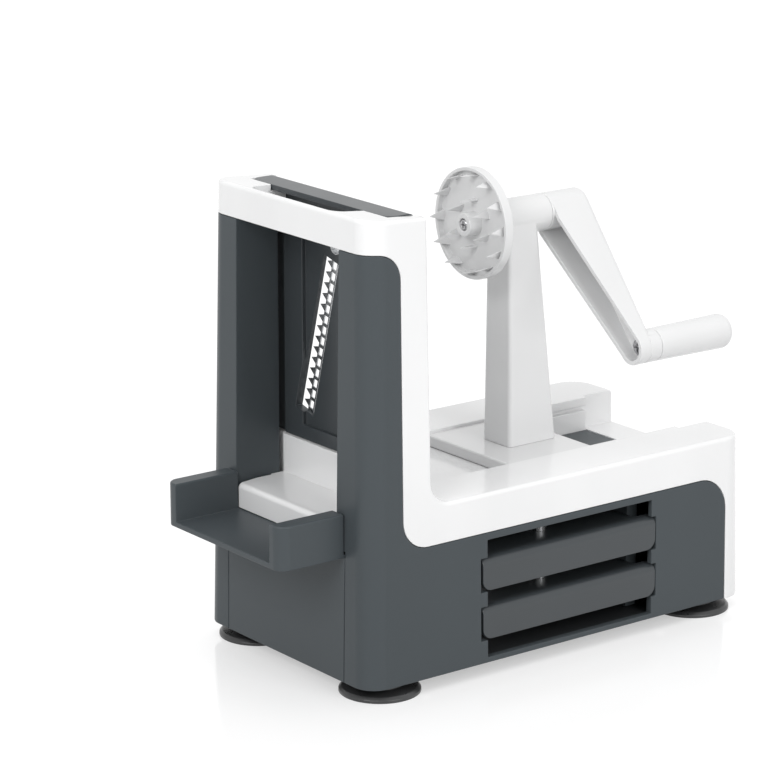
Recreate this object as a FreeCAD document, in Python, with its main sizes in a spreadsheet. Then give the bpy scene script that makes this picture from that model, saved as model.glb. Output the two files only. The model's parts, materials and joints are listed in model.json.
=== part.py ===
"""Hand cranked spiralizer.

Frame: X runs from the tray (-X) to the crank (+X), Y across, Z up. The origin is the middle of
the footprint on the table. Millimetres throughout.
"""
import FreeCAD
import Part
import Sketcher
import math
import os
from types import SimpleNamespace

SIZES = {
    # shells
    "base_length": 270.4,
    "base_width": 152.3,
    "underside": 8.0,
    "side_lean": 0.02,
    "front_lean": 0.014,
    "rear_lean": 0.018,
    "front_corner": 12.6,
    "rear_corner": 15.0,
    "wall": 3.0,
    "seam": 0.3,
    "edge_round": 2.2,
    # tower
    "cap_top": 260.0,
    "cap_drop": 2.6,
    "cap_bottom": 241.7,
    "cap_lip": 3.0,
    "tower_depth": 41.8,
    "tower_lean": 1.6,
    "tower_fillet": 13.0,
    "column_depth": 24.1,
    "column_corner": 14.0,
    "inner_wall_depth": 30.6,
    "passage_half": 46.0,
    "recess_half": 43.0,
    "recess_lip_half": 39.0,
    "recess_round": 8.0,
    "cross_wall_top": 117.0,
    "cross_wall_front": 32.8,
    "ramp_top": 95.3,
    "ramp_front": 94.3,
    "ramp_start": 1.4,
    "ramp_run": 12.0,
    "ramp_half": 44.6,
    # split line between the two shells
    "split_height": 81.3,
    "split_fillet": 16.0,
    "split_corner": 19.0,
    "rear_wall_depth": 17.2,
    # channel of the carriage
    "rail_top": 103.0,
    "channel_half": 38.5,
    "groove_depth": 3.5,
    "deck_top": 94.9,
    "groove_height": 2.9,
    "deck_thickness": 2.5,
    "well_start": 155.2,
    "rear_ledge": 24.2,
    "bridge_top": 83.5,
    # tray
    "tray_reach": 40.3,
    "tray_bottom": 77.3,
    "tray_floor": 3.0,
    "wing_top": 101.5,
    "wing_outer": 53.5,
    "wing_thickness": 10.0,
    "tray_corner": 7.0,
    "tray_round": 1.0,
    "tray_tongue": 7.5,
    "tray_seat": 8.0,
    "wing_skin": 2.5,
    # blade insert
    "plate_half": 55.9,
    "plate_thickness": 5.0,
    "plate_front": 34.6,
    "insert_height": 141.2,
    "flange_top": 258.5,
    "flange_half": 61.5,
    "flange_depth": 18.4,
    "flange_overhang": 11.1,
    "flange_thickness": 3.0,
    "flange_drop": 8.0,
    "flange_corner": 6.0,
    "flange_round": 5.0,
    "rim_inner": 46.5,
    "rim_step": 2.5,
    "pocket_half": 29.5,
    "pocket_top": 12.0,
    "pocket_frame": 8.0,
    "pocket_depth": 2.5,
    "blade_angle": 15.0,
    "throat_start": 10.0,
    "throat_length": 92.0,
    "throat_width": 10.5,
    "throat_overlap": 3.0,
    "blade_thickness": 0.8,
    "blade_width": 18.0,
    "blade_end": 2.0,
    "blade_bevel": 0.6,
    "core_radius": 4.5,
    "core_wall": 0.6,
    "core_length": 8.0,
    "rivet_radius": 1.6,
    "rivet_height": 0.8,
    "rivet_inset": 4.0,
    "rivet_share": 0.12,
    "fine_pitch": 6.5,
    "coarse_pitch": 13.0,
    "tooth_share": 0.7,
    "tooth_height": 4.4,
    "comb_width": 5.2,
    "comb_rib": 1.0,
    "comb_end": 5.0,
    # storage bay
    "bay_centre": 138.9,
    "bay_step": 27.3,
    "lower_slot": 21.1,
    "window_half": 58.5,
    "window_bottom": 11.0,
    "window_top": 77.0,
    "guide_half": 54.5,
    "guide_thickness": 7.5,
    "notch_room": 1.3,
    "insert_proud": 0.2,
    "cover_thickness": 2.5,
    # feet and screws
    "foot_radius": 22.2,
    "foot_height": 6.8,
    "foot_front": 22.2,
    "foot_rear_inset": 25.4,
    "foot_side_inset": 20.15,
    "foot_neck": 3.5,
    "foot_lip": 0.9,
    "foot_head": 1.5,
    "cup_height": 2.6,
    "cup_shoulder": 1.4,
    "cup_inset": 8.0,
    "rim_land": 2.4,
    "rim_height": 1.6,
    "dome_height": 4.2,
    "dome_inset": 9.0,
    "dome_draft": 0.6,
    "tab_half": 4.0,
    "tab_reach": 4.0,
    "tab_low": 0.4,
    "tab_high": 2.2,
    "screw_radius": 1.75,
    "screw_head": 3.5,
    "boss_radius": 4.2,
    "boss_inset": 13.7,
    "cover_boss_inset": 7.7,
    "screw_head_height": 2.0,
    "screw_bite": 12.0,
    "screw_row_front": 20.0,
    "screw_row_rear": 28.0,
    "cover_row_front": 24.0,
    "cover_row_rear": 30.0,
    # carriage
    "carriage_front": 126.2,
    "carriage_length": 60.5,
    "carriage_top": 101.5,
    "carriage_round": 1.2,
    "column_front": 146.4,
    "column_foot": 34.0,
    "column_head": 20.4,
    "column_foot_half": 12.0,
    "column_head_half": 10.0,
    "column_round": 2.5,
    "column_core_inset": 5.0,
    "column_boss": 12.0,
    "column_screw_front": 8.0,
    "column_screw_rear": 9.0,
    "column_screw_bite": 9.0,
    "spindle_height": 230.3,
    "housing_radius": 10.5,
    "housing_front": 134.2,
    "housing_length": 43.0,
    "housing_core_gap": 4.0,
    "bush_radius": 6.5,
    "bush_length": 10.0,
    "shaft_radius": 4.0,
    "shaft_thread": 9.0,
    # prong disc
    "disc_radius": 31.1,
    "disc_gap": 2.0,
    "disc_wall": 2.0,
    "disc_rim": 5.5,
    "disc_boss": 6.5,
    "disc_socket": 4.0,
    "disc_cap": 4.5,
    "screw_floor": 2.0,
    "prong_length": 10.5,
    "prong_thickness": 1.4,
    "prong_half": 3.4,
    "inner_prong_half": 2.8,
    "prong_ring": 27.0,
    "prong_count": 12,
    "inner_ring": 13.0,
    "inner_count": 6,
    # crank
    "hub_radius": 10.45,
    "hub_length": 28.2,
    "arm_length": 90.0,
    "arm_end_radius": 9.3,
    "arm_wall": 2.5,
    "arm_open": 1.0,
    "arm_end_depth": 10.3,
    "arm_round": 4.0,
    "crank_angle": 39.0,
    "handle_boss": 5.2,
    "grip_length": 54.2,
    "grip_radius": 9.9,
    "grip_round": 5.0,
    "grip_chamfer": 0.8,
    "axle_radius": 3.0,
    "axle_head": 2.5,
    "axle_cover": 9.0,
    "axle_head_lip": 2.0,
    # clearances
    "clearance": 0.3,
    "running_fit": 0.05,
}


class Size:
    """A number together with the sheet formula that it comes from."""

    def __init__(self, value, text):
        self.value = float(value)
        self.text = text

    def __add__(self, other):
        other = as_size(other)
        return Size(self.value + other.value, f"({self.text} + {other.text})")

    def __sub__(self, other):
        other = as_size(other)
        return Size(self.value - other.value, f"({self.text} - {other.text})")

    def __mul__(self, other):
        other = as_size(other)
        return Size(self.value * other.value, f"({self.text} * {other.text})")

    def __truediv__(self, other):
        other = as_size(other)
        return Size(self.value / other.value, f"({self.text} / {other.text})")

    def __radd__(self, other):
        return as_size(other) + self

    def __rsub__(self, other):
        return as_size(other) - self

    def __rmul__(self, other):
        return as_size(other) * self

    def __neg__(self):
        return Size(-self.value, f"(0 - {self.text})")


def rule(name, *sizes):
    """A Size from one of the math functions that the sheet knows by the same name."""
    values = [as_size(size) for size in sizes]
    scale = math.radians(1) if name in ("sin", "cos") else 1.0
    unit = " * 1deg" if name in ("sin", "cos") else ""
    return Size(getattr(math, name)(*[value.value * scale for value in values]),
                f"{name}({values[0].text}{unit})")


def as_size(number):
    """Wrap a plain number, and leave a Size as it is."""
    if isinstance(number, Size):
        return number
    return Size(number, f"{float(number):.6f}")


def make_sheet(document):
    """Write the driving sizes to a spreadsheet and hand them back by name."""
    sheet = document.addObject("Spreadsheet::Sheet", "Sizes")
    for row, (name, value) in enumerate(SIZES.items(), start=1):
        sheet.set(f"A{row}", name)
        sheet.set(f"B{row}", str(value))
        sheet.setAlias(f"B{row}", name)
    document.recompute()
    return SimpleNamespace(**{name: Size(value, f"Sizes.{name}") for name, value in SIZES.items()})


document = FreeCAD.newDocument("Spiralizer")
s = make_sheet(document)

# ---------------------------------------------------------------- drawing tools

PLANES = {"X": "YZ_Plane", "Y": "XZ_Plane", "Z": "XY_Plane"}
AXES = {"X": 0, "Y": 1, "Z": 2}
NEAR = 0.02  # two places closer than this are the same
PAST = 5.0  # how far a cut reaches past the outside
LAP = 0.1  # how far one form sinks into the next
parts = {}


def bind(thing, name, size):
    """Tie one property to its formula on the sheet."""
    thing.setExpression(name, as_size(size).text)


def new_body(label, place=None, turn=None):
    """A body for one sub-part; place is its origin, turn an (axis, angle) pair."""
    body = document.addObject("PartDesign::Body", label)
    body.Label = label
    body.AllowCompound = True
    parts[label] = body
    if place:
        start = FreeCAD.Vector(*[as_size(value).value for value in place])
        rotation = FreeCAD.Rotation()
        if turn:
            rotation = FreeCAD.Rotation(FreeCAD.Vector(*turn[0]), as_size(turn[1]).value)
        body.Placement = FreeCAD.Placement(start, rotation)
        for letter, value in zip("xyz", place):
            bind(body, f"Placement.Base.{letter}", value)
        if turn:
            bind(body, "Placement.Rotation.Angle", turn[1])
    return body


def new_sketch(body, axis, low, high):
    """A sketch square to the axis, where a feature from low to high starts."""
    sketch = body.newObject("Sketcher::SketchObject", f"{body.Name}_sketch")
    plane = next(item for item in body.Origin.OriginFeatures if item.Role == PLANES[axis])
    sketch.AttachmentSupport = [(plane, "")]
    sketch.MapMode = "FlatFace"
    start = -as_size(high) if axis == "Y" else as_size(low)
    sketch.AttachmentOffset = FreeCAD.Placement(FreeCAD.Vector(0, 0, start.value), FreeCAD.Rotation())
    bind(sketch, "AttachmentOffset.Base.z", start)
    return sketch


def fix_point(sketch, item, vertex, u, v):
    """Hold one point of the sketch at (u, v)."""
    for kind, size in (("DistanceX", as_size(u)), ("DistanceY", as_size(v))):
        number = sketch.addConstraint(Sketcher.Constraint(kind, -1, 1, item, vertex, size.value))
        sketch.setExpression(f"Constraints[{number}]", size.text)


def draw_polygon(sketch, points):
    """A closed outline of straight lines through the points."""
    places = [FreeCAD.Vector(as_size(point[0]).value, as_size(point[1]).value, 0) for point in points]
    count = len(places)
    lines = [Part.LineSegment(places[i], places[(i + 1) % count]) for i in range(count)]
    numbers = sketch.addGeometry(lines)
    for i in range(count):
        sketch.addConstraint(Sketcher.Constraint("Coincident", numbers[i], 2, numbers[(i + 1) % count], 1))
    for number, point in zip(numbers, points):
        fix_point(sketch, number, 1, point[0], point[1])


def draw_circle(sketch, u, v, radius):
    """A circle of the given radius about (u, v)."""
    middle = FreeCAD.Vector(as_size(u).value, as_size(v).value, 0)
    radius = as_size(radius)
    number = sketch.addGeometry(Part.Circle(middle, FreeCAD.Vector(0, 0, 1), radius.value))
    fix_point(sketch, number, 3, u, v)
    constraint = sketch.addConstraint(Sketcher.Constraint("Radius", number, radius.value))
    sketch.setExpression(f"Constraints[{constraint}]", radius.text)


def draw_link(sketch, length, top_radius, end_radius):
    """Two arcs, about the origin and a length below it, joined by lines tangent to both."""
    length, top_radius, end_radius = as_size(length), as_size(top_radius), as_size(end_radius)
    lean = math.asin((top_radius.value - end_radius.value) / length.value)
    arcs = []
    for radius, height, first, last in ((top_radius, as_size(0), lean, math.pi - lean),
                                        (end_radius, -length, math.pi - lean, 2 * math.pi + lean)):
        middle = FreeCAD.Vector(0, height.value, 0)
        whole = Part.Circle(middle, FreeCAD.Vector(0, 0, 1), radius.value)
        arcs.append(Part.ArcOfCircle(whole, first, last))
    top, end = sketch.addGeometry(arcs)
    left, right = sketch.addGeometry([Part.LineSegment(arcs[0].EndPoint, arcs[1].StartPoint),
                                      Part.LineSegment(arcs[1].EndPoint, arcs[0].StartPoint)])
    for one, other in ((top, left), (left, end), (end, right), (right, top)):
        sketch.addConstraint(Sketcher.Constraint("Tangent", one, 2, other, 1))
    for arc, radius, height in ((top, top_radius, 0), (end, end_radius, -length)):
        fix_point(sketch, arc, 3, 0, height)
        constraint = sketch.addConstraint(Sketcher.Constraint("Radius", arc, radius.value))
        sketch.setExpression(f"Constraints[{constraint}]", radius.text)


def circle(u, v, radius):
    """A profile: one circle."""
    return ("circle", u, v, radius)


def link(length, top_radius, end_radius):
    """A profile: two arcs joined by tangents."""
    return ("link", length, top_radius, end_radius)


def rectangle(u_low, u_high, v_low, v_high):
    """A profile: one rectangle."""
    return [(u_low, v_low), (u_high, v_low), (u_high, v_high), (u_low, v_high)]


def flat(point, axis):
    """The two sketch coordinates of a point in space."""
    return [point[i] for i in range(3) if i != AXES[axis]]


def edge_names(shape, chosen):
    """Names of the edges that the test chosen picks out."""
    return [f"Edge{i}" for i, edge in enumerate(shape.Edges, start=1) if chosen(edge)]


def round_edges(body, radius, chosen, kind="Fillet"):
    """Round the edges of the body that the test picks out."""
    base = body.Tip
    names = edge_names(base.Shape, chosen)
    if not names:
        raise ValueError(f"{body.Label}: no edge to round")
    feature = body.newObject(f"PartDesign::{kind}", f"{body.Name}_{kind.lower()}")
    feature.Base = (base, names)
    bind(feature, "Radius" if kind == "Fillet" else "Size", radius)
    body.Tip = feature
    document.recompute()
    if "Invalid" in feature.State:
        raise ValueError(f"{body.Label}: {len(names)} edges can't be rounded")
    return feature


def runs_through(edge, axis, point):
    """True for an edge along the axis that passes the corner point of a profile."""
    goal = [as_size(point[0]).value, as_size(point[1]).value]
    ends = [flat(vertex.Point, axis) for vertex in edge.Vertexes]
    return len(ends) == 2 and all(math.dist(end, goal) < NEAR for end in ends)


def feature_from(body, kind, axis, low, high, profiles):
    """Pad or pocket the profiles from low to high along the axis, then round marked corners."""
    sketch = new_sketch(body, axis, low, high)
    for profile in profiles:
        if isinstance(profile[0], str):
            {"circle": draw_circle, "link": draw_link}[profile[0]](sketch, *profile[1:])
        else:
            draw_polygon(sketch, profile)
    before = body.Shape.Volume if body.Tip else 0.0
    feature = body.newObject(f"PartDesign::{kind}", f"{body.Name}_{kind.lower()}")
    feature.Profile = sketch
    feature.Reversed = kind == "Pocket"
    bind(feature, "Length", as_size(high) - low)
    document.recompute()
    after = body.Shape.Volume
    if (after > before) == (kind == "Pocket") or abs(after - before) < 1e-6:
        raise ValueError(f"{body.Label}: {kind} changes nothing")
    rounded = {}
    for profile in profiles:
        for point in [] if isinstance(profile[0], str) else profile:
            if len(point) == 3:
                rounded.setdefault(as_size(point[2]).text, []).append(point)
    for corners in rounded.values():
        round_edges(body, corners[0][2],
                    lambda edge: any(runs_through(edge, axis, corner) for corner in corners))


def add(body, axis, low, high, *profiles):
    """Add prisms with the given profiles."""
    feature_from(body, "Pad", axis, low, high, profiles)


def remove(body, axis, low, high, *profiles):
    """Cut prisms with the given profiles."""
    feature_from(body, "Pocket", axis, low, high, profiles)


def turned(body, kind, line, *profiles):
    """Revolve profiles drawn in the XZ plane about its H_Axis (X) or V_Axis (Z)."""
    sketch = new_sketch(body, "Y", 0, 0)
    for profile in profiles:
        draw_polygon(sketch, profile)
    feature = body.newObject(f"PartDesign::{kind}", f"{body.Name}_{kind.lower()}")
    feature.Profile = sketch
    feature.ReferenceAxis = (sketch, [line])
    feature.Angle = 360
    document.recompute()


# ---------------------------------------------------------------- places that pieces share

front = s.tray_reach / 2 - s.base_length / 2
tray_front = front - s.tray_reach
split = s.base_length - s.rear_wall_depth
side_inside = s.base_width / 2 - s.side_lean * (s.split_height - s.underside) - s.wall
bay_x = front + s.bay_centre
slot_heights = {"lower": s.lower_slot, "upper": s.lower_slot + s.bay_step}
well_end = s.base_length - s.rear_ledge
foot_rear = s.base_length - s.foot_rear_inset
foot_side = s.base_width / 2 - s.foot_side_inset
boss_side = side_inside - s.boss_inset
cover_boss_side = side_inside - s.cover_boss_inset
screw_rows = (s.tower_depth + s.screw_row_front, split - s.screw_row_rear)
cover_rows = (s.foot_front + s.cover_row_front, foot_rear - s.cover_row_rear)
spindle_x = front + s.housing_front
hub_x = spindle_x + s.housing_length + s.clearance
slide_top = s.deck_top + s.clearance
core_height = s.spindle_height - s.flange_top
blade_sine = rule("sin", s.blade_angle)
blade_cosine = rule("cos", s.blade_angle)
handle_y = -s.arm_length * rule("sin", s.crank_angle)
handle_z = s.spindle_height - s.arm_length * rule("cos", s.crank_angle)


def back(distance):
    """X of a plane that lies this far behind the front of the base."""
    return front + distance


def front_at(height):
    """X of the leaning front face at a height."""
    return front + s.front_lean * (as_size(height) - s.underside)


def rear_at(height):
    """X of the leaning rear face at a height."""
    return front + s.base_length - s.rear_lean * (as_size(height) - s.underside)


def half_width(height):
    """Half the outer width at a height."""
    return s.base_width / 2 - s.side_lean * (as_size(height) - s.underside)


def lean_sides(body, low, high):
    """Plane both sides of a shell to the lean that the two shells share."""
    for sign in (-1, 1):
        remove(body, "X", front - PAST, back(s.base_length) + PAST,
               [(sign * half_width(low), low), (sign * s.base_width, low),
                (sign * s.base_width, high), (sign * half_width(high), high)])


def front_cored(x_low, x_high, half):
    """A core whose front corners are cut off, clear of the rounded corners outside."""
    cut = s.front_corner - s.wall
    return [(x_low, cut - half), (x_low + cut, -half), (x_high, -half), (x_high, half),
            (x_low + cut, half), (x_low, half - cut)]


def corner_edges(height_low, at_front):
    """Test for the upright edges between an end face and the leaning sides."""
    def chosen(edge):
        ends = [vertex.Point for vertex in edge.Vertexes]
        if len(ends) != 2 or abs(ends[0].z - ends[1].z) < 8:
            return False
        for end in ends:
            face_x = front_at(end.z).value if at_front else rear_at(end.z).value
            if abs(end.x - face_x) > NEAR or abs(abs(end.y) - half_width(end.z).value) > NEAR:
                return False
        return min(end.z for end in ends) > as_size(height_low).value
    return chosen


# ---------------------------------------------------------------- shells

def make_base_body():
    """Lower shell with the two front columns and the storage bay."""
    body = new_body("base_body")
    top = s.split_height - s.seam
    column_top = s.cap_bottom - s.seam
    column_back = back(s.column_depth) - s.seam
    split_x = back(split) - s.seam
    add(body, "Y", -s.base_width / 2 - 1, s.base_width / 2 + 1,
        [(front, s.underside), (front_at(column_top), column_top),
         (column_back, column_top, s.column_corner), (column_back, top, s.split_fillet + s.seam),
         (split_x, top, s.split_corner), (split_x, s.underside)])
    lean_sides(body, s.underside - 1, column_top + 1)
    round_edges(body, s.front_corner, corner_edges(0, True))
    remove(body, "Y", -s.passage_half, s.passage_half,
           rectangle(front - PAST, back(s.column_depth + s.split_fillet + 2), top, column_top + 1))
    for sign in (-1, 1):
        inner = sign * s.passage_half
        add(body, "Z", top - 1, column_top,
            rectangle(column_back - s.wall, back(s.inner_wall_depth), inner,
                      sign * (s.plate_half + s.clearance)))
        cut = s.front_corner - s.wall
        outer = sign * (half_width(column_top) - s.wall)
        inner = sign * (s.passage_half + s.wall)
        remove(body, "Z", top + s.wall, column_top + 1,
               [(front_at(column_top) + s.wall, inner), (column_back - s.wall, inner),
                (column_back - s.wall, outer), (front_at(column_top) + s.wall + cut, outer),
                (front_at(column_top) + s.wall, outer - sign * cut)])
    remove(body, "Z", s.underside - 1, top - s.wall,
           front_cored(front + s.wall + 1, split_x - s.wall, side_inside))
    notch = s.wing_outer + s.clearance
    remove(body, "Z", s.underside - 1, s.tray_bottom + s.tray_floor + s.clearance,
           rectangle(front - PAST, back(s.tray_seat), -notch, notch))
    remove(body, "Z", s.tray_bottom, top + 1,
           rectangle(front - PAST, back(s.tray_seat), -s.passage_half, s.passage_half))
    add_storage_bay(body, top - s.wall)
    add(body, "Z", top - s.wall - 1, s.bridge_top,
        rectangle(back(s.well_start) + 1, back(well_end) - 1, 1 - s.channel_half, s.channel_half - 1))
    for row in screw_rows:
        remove(body, "Z", top - s.wall - 1, top + 1,
               *[circle(back(row), sign * boss_side, s.screw_radius + s.clearance) for sign in (-1, 1)])
    seat = s.underside + s.cover_thickness + s.clearance
    for row in cover_rows:
        for sign in (-1, 1):
            add(body, "Z", seat, top - 1, circle(back(row), sign * cover_boss_side, s.boss_radius))
            remove(body, "Z", s.underside, seat + s.screw_bite,
                   circle(back(row), sign * cover_boss_side, s.screw_radius + s.running_fit))


def add_storage_bay(body, ceiling):
    """Windows in both sides, and guide blocks with a groove for each stored insert."""
    low = s.window_bottom
    for sign in (-1, 1):
        inner = bay_x + sign * s.guide_half
        outer = inner + sign * s.guide_thickness
        add(body, "Z", low, ceiling + 1,
            rectangle(inner, outer, s.flange_drop + 1 - side_inside + 4, side_inside + 1))
        for height in slot_heights.values():
            plate = height + s.flange_overhang
            remove(body, "Y", -side_inside, side_inside,
                   rectangle(inner - sign, bay_x + sign * (s.plate_half + s.clearance),
                             plate - s.clearance, plate + s.plate_thickness + s.clearance))
    window = rectangle(bay_x - s.window_half, bay_x + s.window_half, low, s.window_top)
    remove(body, "Y", side_inside - LAP, s.base_width, window)
    remove(body, "Y", -s.base_width, LAP - side_inside, window)
    for height in slot_heights.values():
        notch = s.flange_half + s.clearance
        remove(body, "Y", -s.base_width, LAP - side_inside,
               rectangle(bay_x - notch - s.notch_room, bay_x + notch,
                         height - s.clearance, height + s.flange_depth + s.clearance))


def make_top_frame():
    """Upper shell: cap, rear strips, rails, deck, ramp, cross wall and rear wall."""
    body = new_body("top_frame")
    low = s.split_height
    add(body, "Y", -s.base_width / 2 - 1, s.base_width / 2 + 1,
        [(front_at(s.cap_bottom), s.cap_bottom), (front_at(s.cap_top), s.cap_top),
         (back(s.tower_depth), s.cap_top - s.cap_drop),
         (back(s.tower_depth) + s.tower_lean, s.rail_top, s.tower_fillet),
         (rear_at(s.rail_top), s.rail_top), (back(s.base_length), s.underside),
         (back(split), s.underside), (back(split), low, s.split_corner + s.seam),
         (back(s.column_depth), low, s.split_fillet),
         (back(s.column_depth), s.cap_bottom, s.column_corner + s.seam)])
    lean_sides(body, s.underside - 1, s.cap_top + 1)
    round_edges(body, s.front_corner, corner_edges(s.cap_bottom - 1, True))
    round_edges(body, s.rear_corner, corner_edges(0, False))
    round_edges(body, s.edge_round, is_outer_top_edge)
    cut_tower(body, low)
    cut_channel(body, low)
    hollow_underneath(body, low)
    add(body, "Y", -s.ramp_half, s.ramp_half,
        [(back(s.ramp_start), s.tray_bottom + s.tray_floor + s.clearance),
         (back(s.ramp_start), s.ramp_front, s.wall),
         (back(s.ramp_start + s.ramp_run), s.ramp_top), (back(s.cross_wall_front) + 1, s.ramp_top),
         (back(s.cross_wall_front) + 1, s.ramp_top - s.wall),
         (back(s.ramp_start) + s.wall, s.ramp_top - s.wall - 1),
         (back(s.ramp_start) + s.wall, s.tray_bottom + s.tray_floor + s.clearance)])
    for row in screw_rows:
        for sign in (-1, 1):
            add(body, "Z", low - s.seam, s.rail_top - s.wall + 1,
                circle(back(row), sign * boss_side, s.boss_radius))
            remove(body, "Z", low - s.seam, low + s.screw_bite,
                   circle(back(row), sign * boss_side, s.screw_radius + s.running_fit))


def is_outer_top_edge(edge):
    """Test for the long edges round the top of the rails, the tower and the cap."""
    points = [edge.valueAt(edge.FirstParameter + share * (edge.LastParameter - edge.FirstParameter))
              for share in (0.1, 0.5, 0.9)]
    for point in points:
        outside = abs(abs(point.y) - half_width(point.z).value) < NEAR
        tower_top = front_at(s.cap_top).value
        slope = (point.x - tower_top) / (back(s.tower_depth).value - tower_top)
        at_cap = abs(point.z - (s.cap_top.value - s.cap_drop.value * slope)) < NEAR
        at_rail = abs(point.z - s.rail_top.value) < NEAR
        behind = point.x > back(s.tower_depth).value - NEAR and point.z > s.rail_top.value - NEAR
        corner = point.z > s.rail_top.value - NEAR and not outside
        if not ((outside and (at_cap or behind)) or (corner and (at_cap or at_rail))):
            return False
    at_flange = all(abs(p.x - back(s.tower_depth).value) < NEAR for p in points)
    at_foot = all(abs(p.y) < half_width(p.z).value - 1 and p.x < rear_at(p.z).value - 20 for p in points)
    at_lip = all(abs(p.x - front_at(p.z).value) < NEAR for p in points)
    return not at_flange and (not at_foot or at_lip)


def cut_tower(body, low):
    """Passage, groove of the insert, seat of its flange and finger recess."""
    guide = s.plate_half + s.clearance
    groove_front = back(s.plate_front) - s.clearance
    groove_back = back(s.plate_front + s.plate_thickness) + s.clearance
    over = s.cap_top + PAST
    flange_x = back(s.plate_front - s.flange_overhang) - s.clearance
    remove(body, "Z", s.cross_wall_top, s.cap_bottom,
           rectangle(front - PAST, groove_front + LAP, -guide, guide))
    remove(body, "Z", s.ramp_top, s.cross_wall_top + 1,
           rectangle(front - PAST, back(s.cross_wall_front), -s.passage_half, s.passage_half))
    for sign in (-1, 1):
        remove(body, "Z", low - 1, s.cross_wall_top + 1,
               rectangle(front - PAST, groove_front, sign * s.passage_half, sign * guide))
    remove(body, "Z", s.cross_wall_top, over, rectangle(groove_front, groove_back, -guide, guide))
    remove(body, "Z", s.cross_wall_top, over,
           rectangle(groove_back - LAP, back(s.tower_depth + PAST), -s.passage_half, s.passage_half))
    seat = s.flange_half + s.clearance
    remove(body, "Z", s.flange_top - s.flange_thickness - s.clearance, over,
           rectangle(flange_x, back(s.tower_depth + PAST), -seat, seat))
    remove(body, "Z", s.flange_top - s.flange_drop - s.clearance, over,
           rectangle(groove_front, back(s.tower_depth + PAST), -seat, seat))
    recess_front = front_at(s.cap_top) + s.cap_lip
    remove(body, "Z", s.cap_bottom + s.wall, over,
           [(recess_front, -s.recess_lip_half, s.recess_round), (groove_front + LAP, -s.recess_half),
            (groove_front + LAP, s.recess_half), (recess_front, s.recess_lip_half, s.recess_round)])


def cut_channel(body, low):
    """Channel, C grooves and well between the rails."""
    start = back(s.tower_depth)
    end = back(well_end)
    over = s.rail_top + PAST
    wide = s.channel_half + s.groove_depth
    remove(body, "Z", s.deck_top, over, rectangle(start, end + LAP, -s.channel_half, s.channel_half))
    remove(body, "Z", s.bridge_top, over, rectangle(end, back(s.base_length + PAST), -wide, wide))
    for sign in (-1, 1):
        remove(body, "Z", s.deck_top, s.deck_top + s.groove_height,
               rectangle(start, end + LAP, sign * (s.channel_half - 1), sign * wide))
    remove(body, "Z", low - s.split_corner, s.deck_top + 1,
           rectangle(back(s.well_start), end, -s.channel_half, s.channel_half))


def hollow_underneath(body, low):
    """Cores that leave a wall under the rails, the deck, the strips and in the rear wall."""
    wide = s.channel_half + s.groove_depth
    rear_inside = rear_at(s.rail_top) - s.wall
    cut = s.rear_corner - s.wall
    for sign in (-1, 1):
        rail_front = back(s.tower_depth) + s.wall
        rail_inside = sign * (wide + s.deck_thickness)
        remove(body, "Z", low - 1, s.rail_top - s.wall,
               [(rail_front, rail_inside), (rear_inside, rail_inside),
                (rear_inside, sign * (side_inside - cut)), (rear_inside - cut, sign * side_inside),
                (rail_front, sign * side_inside)])
        remove(body, "Z", low + 2, s.cap_bottom - s.wall,
               rectangle(back(s.column_depth) - 1, back(s.tower_depth) - s.wall,
                         sign * (s.plate_half + s.clearance + s.wall),
                         sign * (half_width(s.cap_bottom) - s.wall)))
    remove(body, "Z", low - 1, s.deck_top - s.deck_thickness,
           rectangle(back(s.tower_depth), back(s.well_start) - s.deck_thickness, -wide, wide))
    rear_wall_front = back(split) + s.wall
    narrow = side_inside - cut
    remove(body, "Z", s.underside - 1, low - 1,
           [(rear_wall_front, -narrow - rear_inside + rear_wall_front), (rear_inside, -narrow),
            (rear_inside, narrow), (rear_wall_front, narrow + rear_inside - rear_wall_front)])


def make_front_tray():
    """Front panel with the U shaped tray."""
    body = new_body("front_tray")
    end = front_at(s.tray_bottom) - s.clearance
    floor = s.tray_bottom + s.tray_floor
    add(body, "Z", s.tray_bottom, s.wing_top,
        [(tray_front, -s.wing_outer, s.tray_corner), (end, -s.wing_outer), (end, s.wing_outer),
         (tray_front, s.wing_outer, s.tray_corner)])
    inner = s.wing_outer - s.wing_thickness
    remove(body, "Z", floor, s.wing_top + 1, rectangle(tray_front - 1, end + 1, -inner, inner))
    round_edges(body, s.tray_round, lambda edge: is_level_edge(edge, s.wing_top))
    for sign in (-1, 1):
        remove(body, "Z", s.tray_bottom - 1, s.wing_top - s.wall,
               rectangle(tray_front + s.wall, end - s.wall,
                         sign * (inner + s.wing_skin), sign * (s.wing_outer - s.wing_skin)))
    add(body, "Z", s.tray_bottom, floor, rectangle(end - 1, back(s.tray_tongue), -s.passage_half,
                                             s.passage_half))
    add(body, "Y", -s.wing_outer, s.wing_outer,
        [(front, s.underside), (front + s.wall, s.underside), (front + s.wall, floor - 1),
         (front_at(floor) - 0.5, floor - 1), (front_at(s.tray_bottom), s.tray_bottom)])


def is_level_edge(edge, height):
    """Test for an edge that lies at one height."""
    return all(abs(vertex.Point.z - as_size(height).value) < NEAR for vertex in edge.Vertexes)


def make_bottom_cover():
    """Plate that closes the base and carries the suction feet."""
    body = new_body("bottom_cover")
    inside = side_inside - s.clearance
    low = s.underside + s.clearance
    high = s.underside + s.cover_thickness
    add(body, "Z", low, high,
        front_cored(back(s.wall) + 1 + s.clearance, back(split) - s.seam - s.wall - s.clearance, inside))
    for distance in (s.foot_front, foot_rear):
        remove(body, "Z", low - 1, high + 1,
               *[circle(back(distance), sign * foot_side, s.foot_neck + s.running_fit) for sign in (-1, 1)])
    for row in cover_rows:
        remove(body, "Z", low - 1, high + 1,
               *[circle(back(row), sign * cover_boss_side, s.screw_radius + s.clearance)
                 for sign in (-1, 1)])


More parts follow.
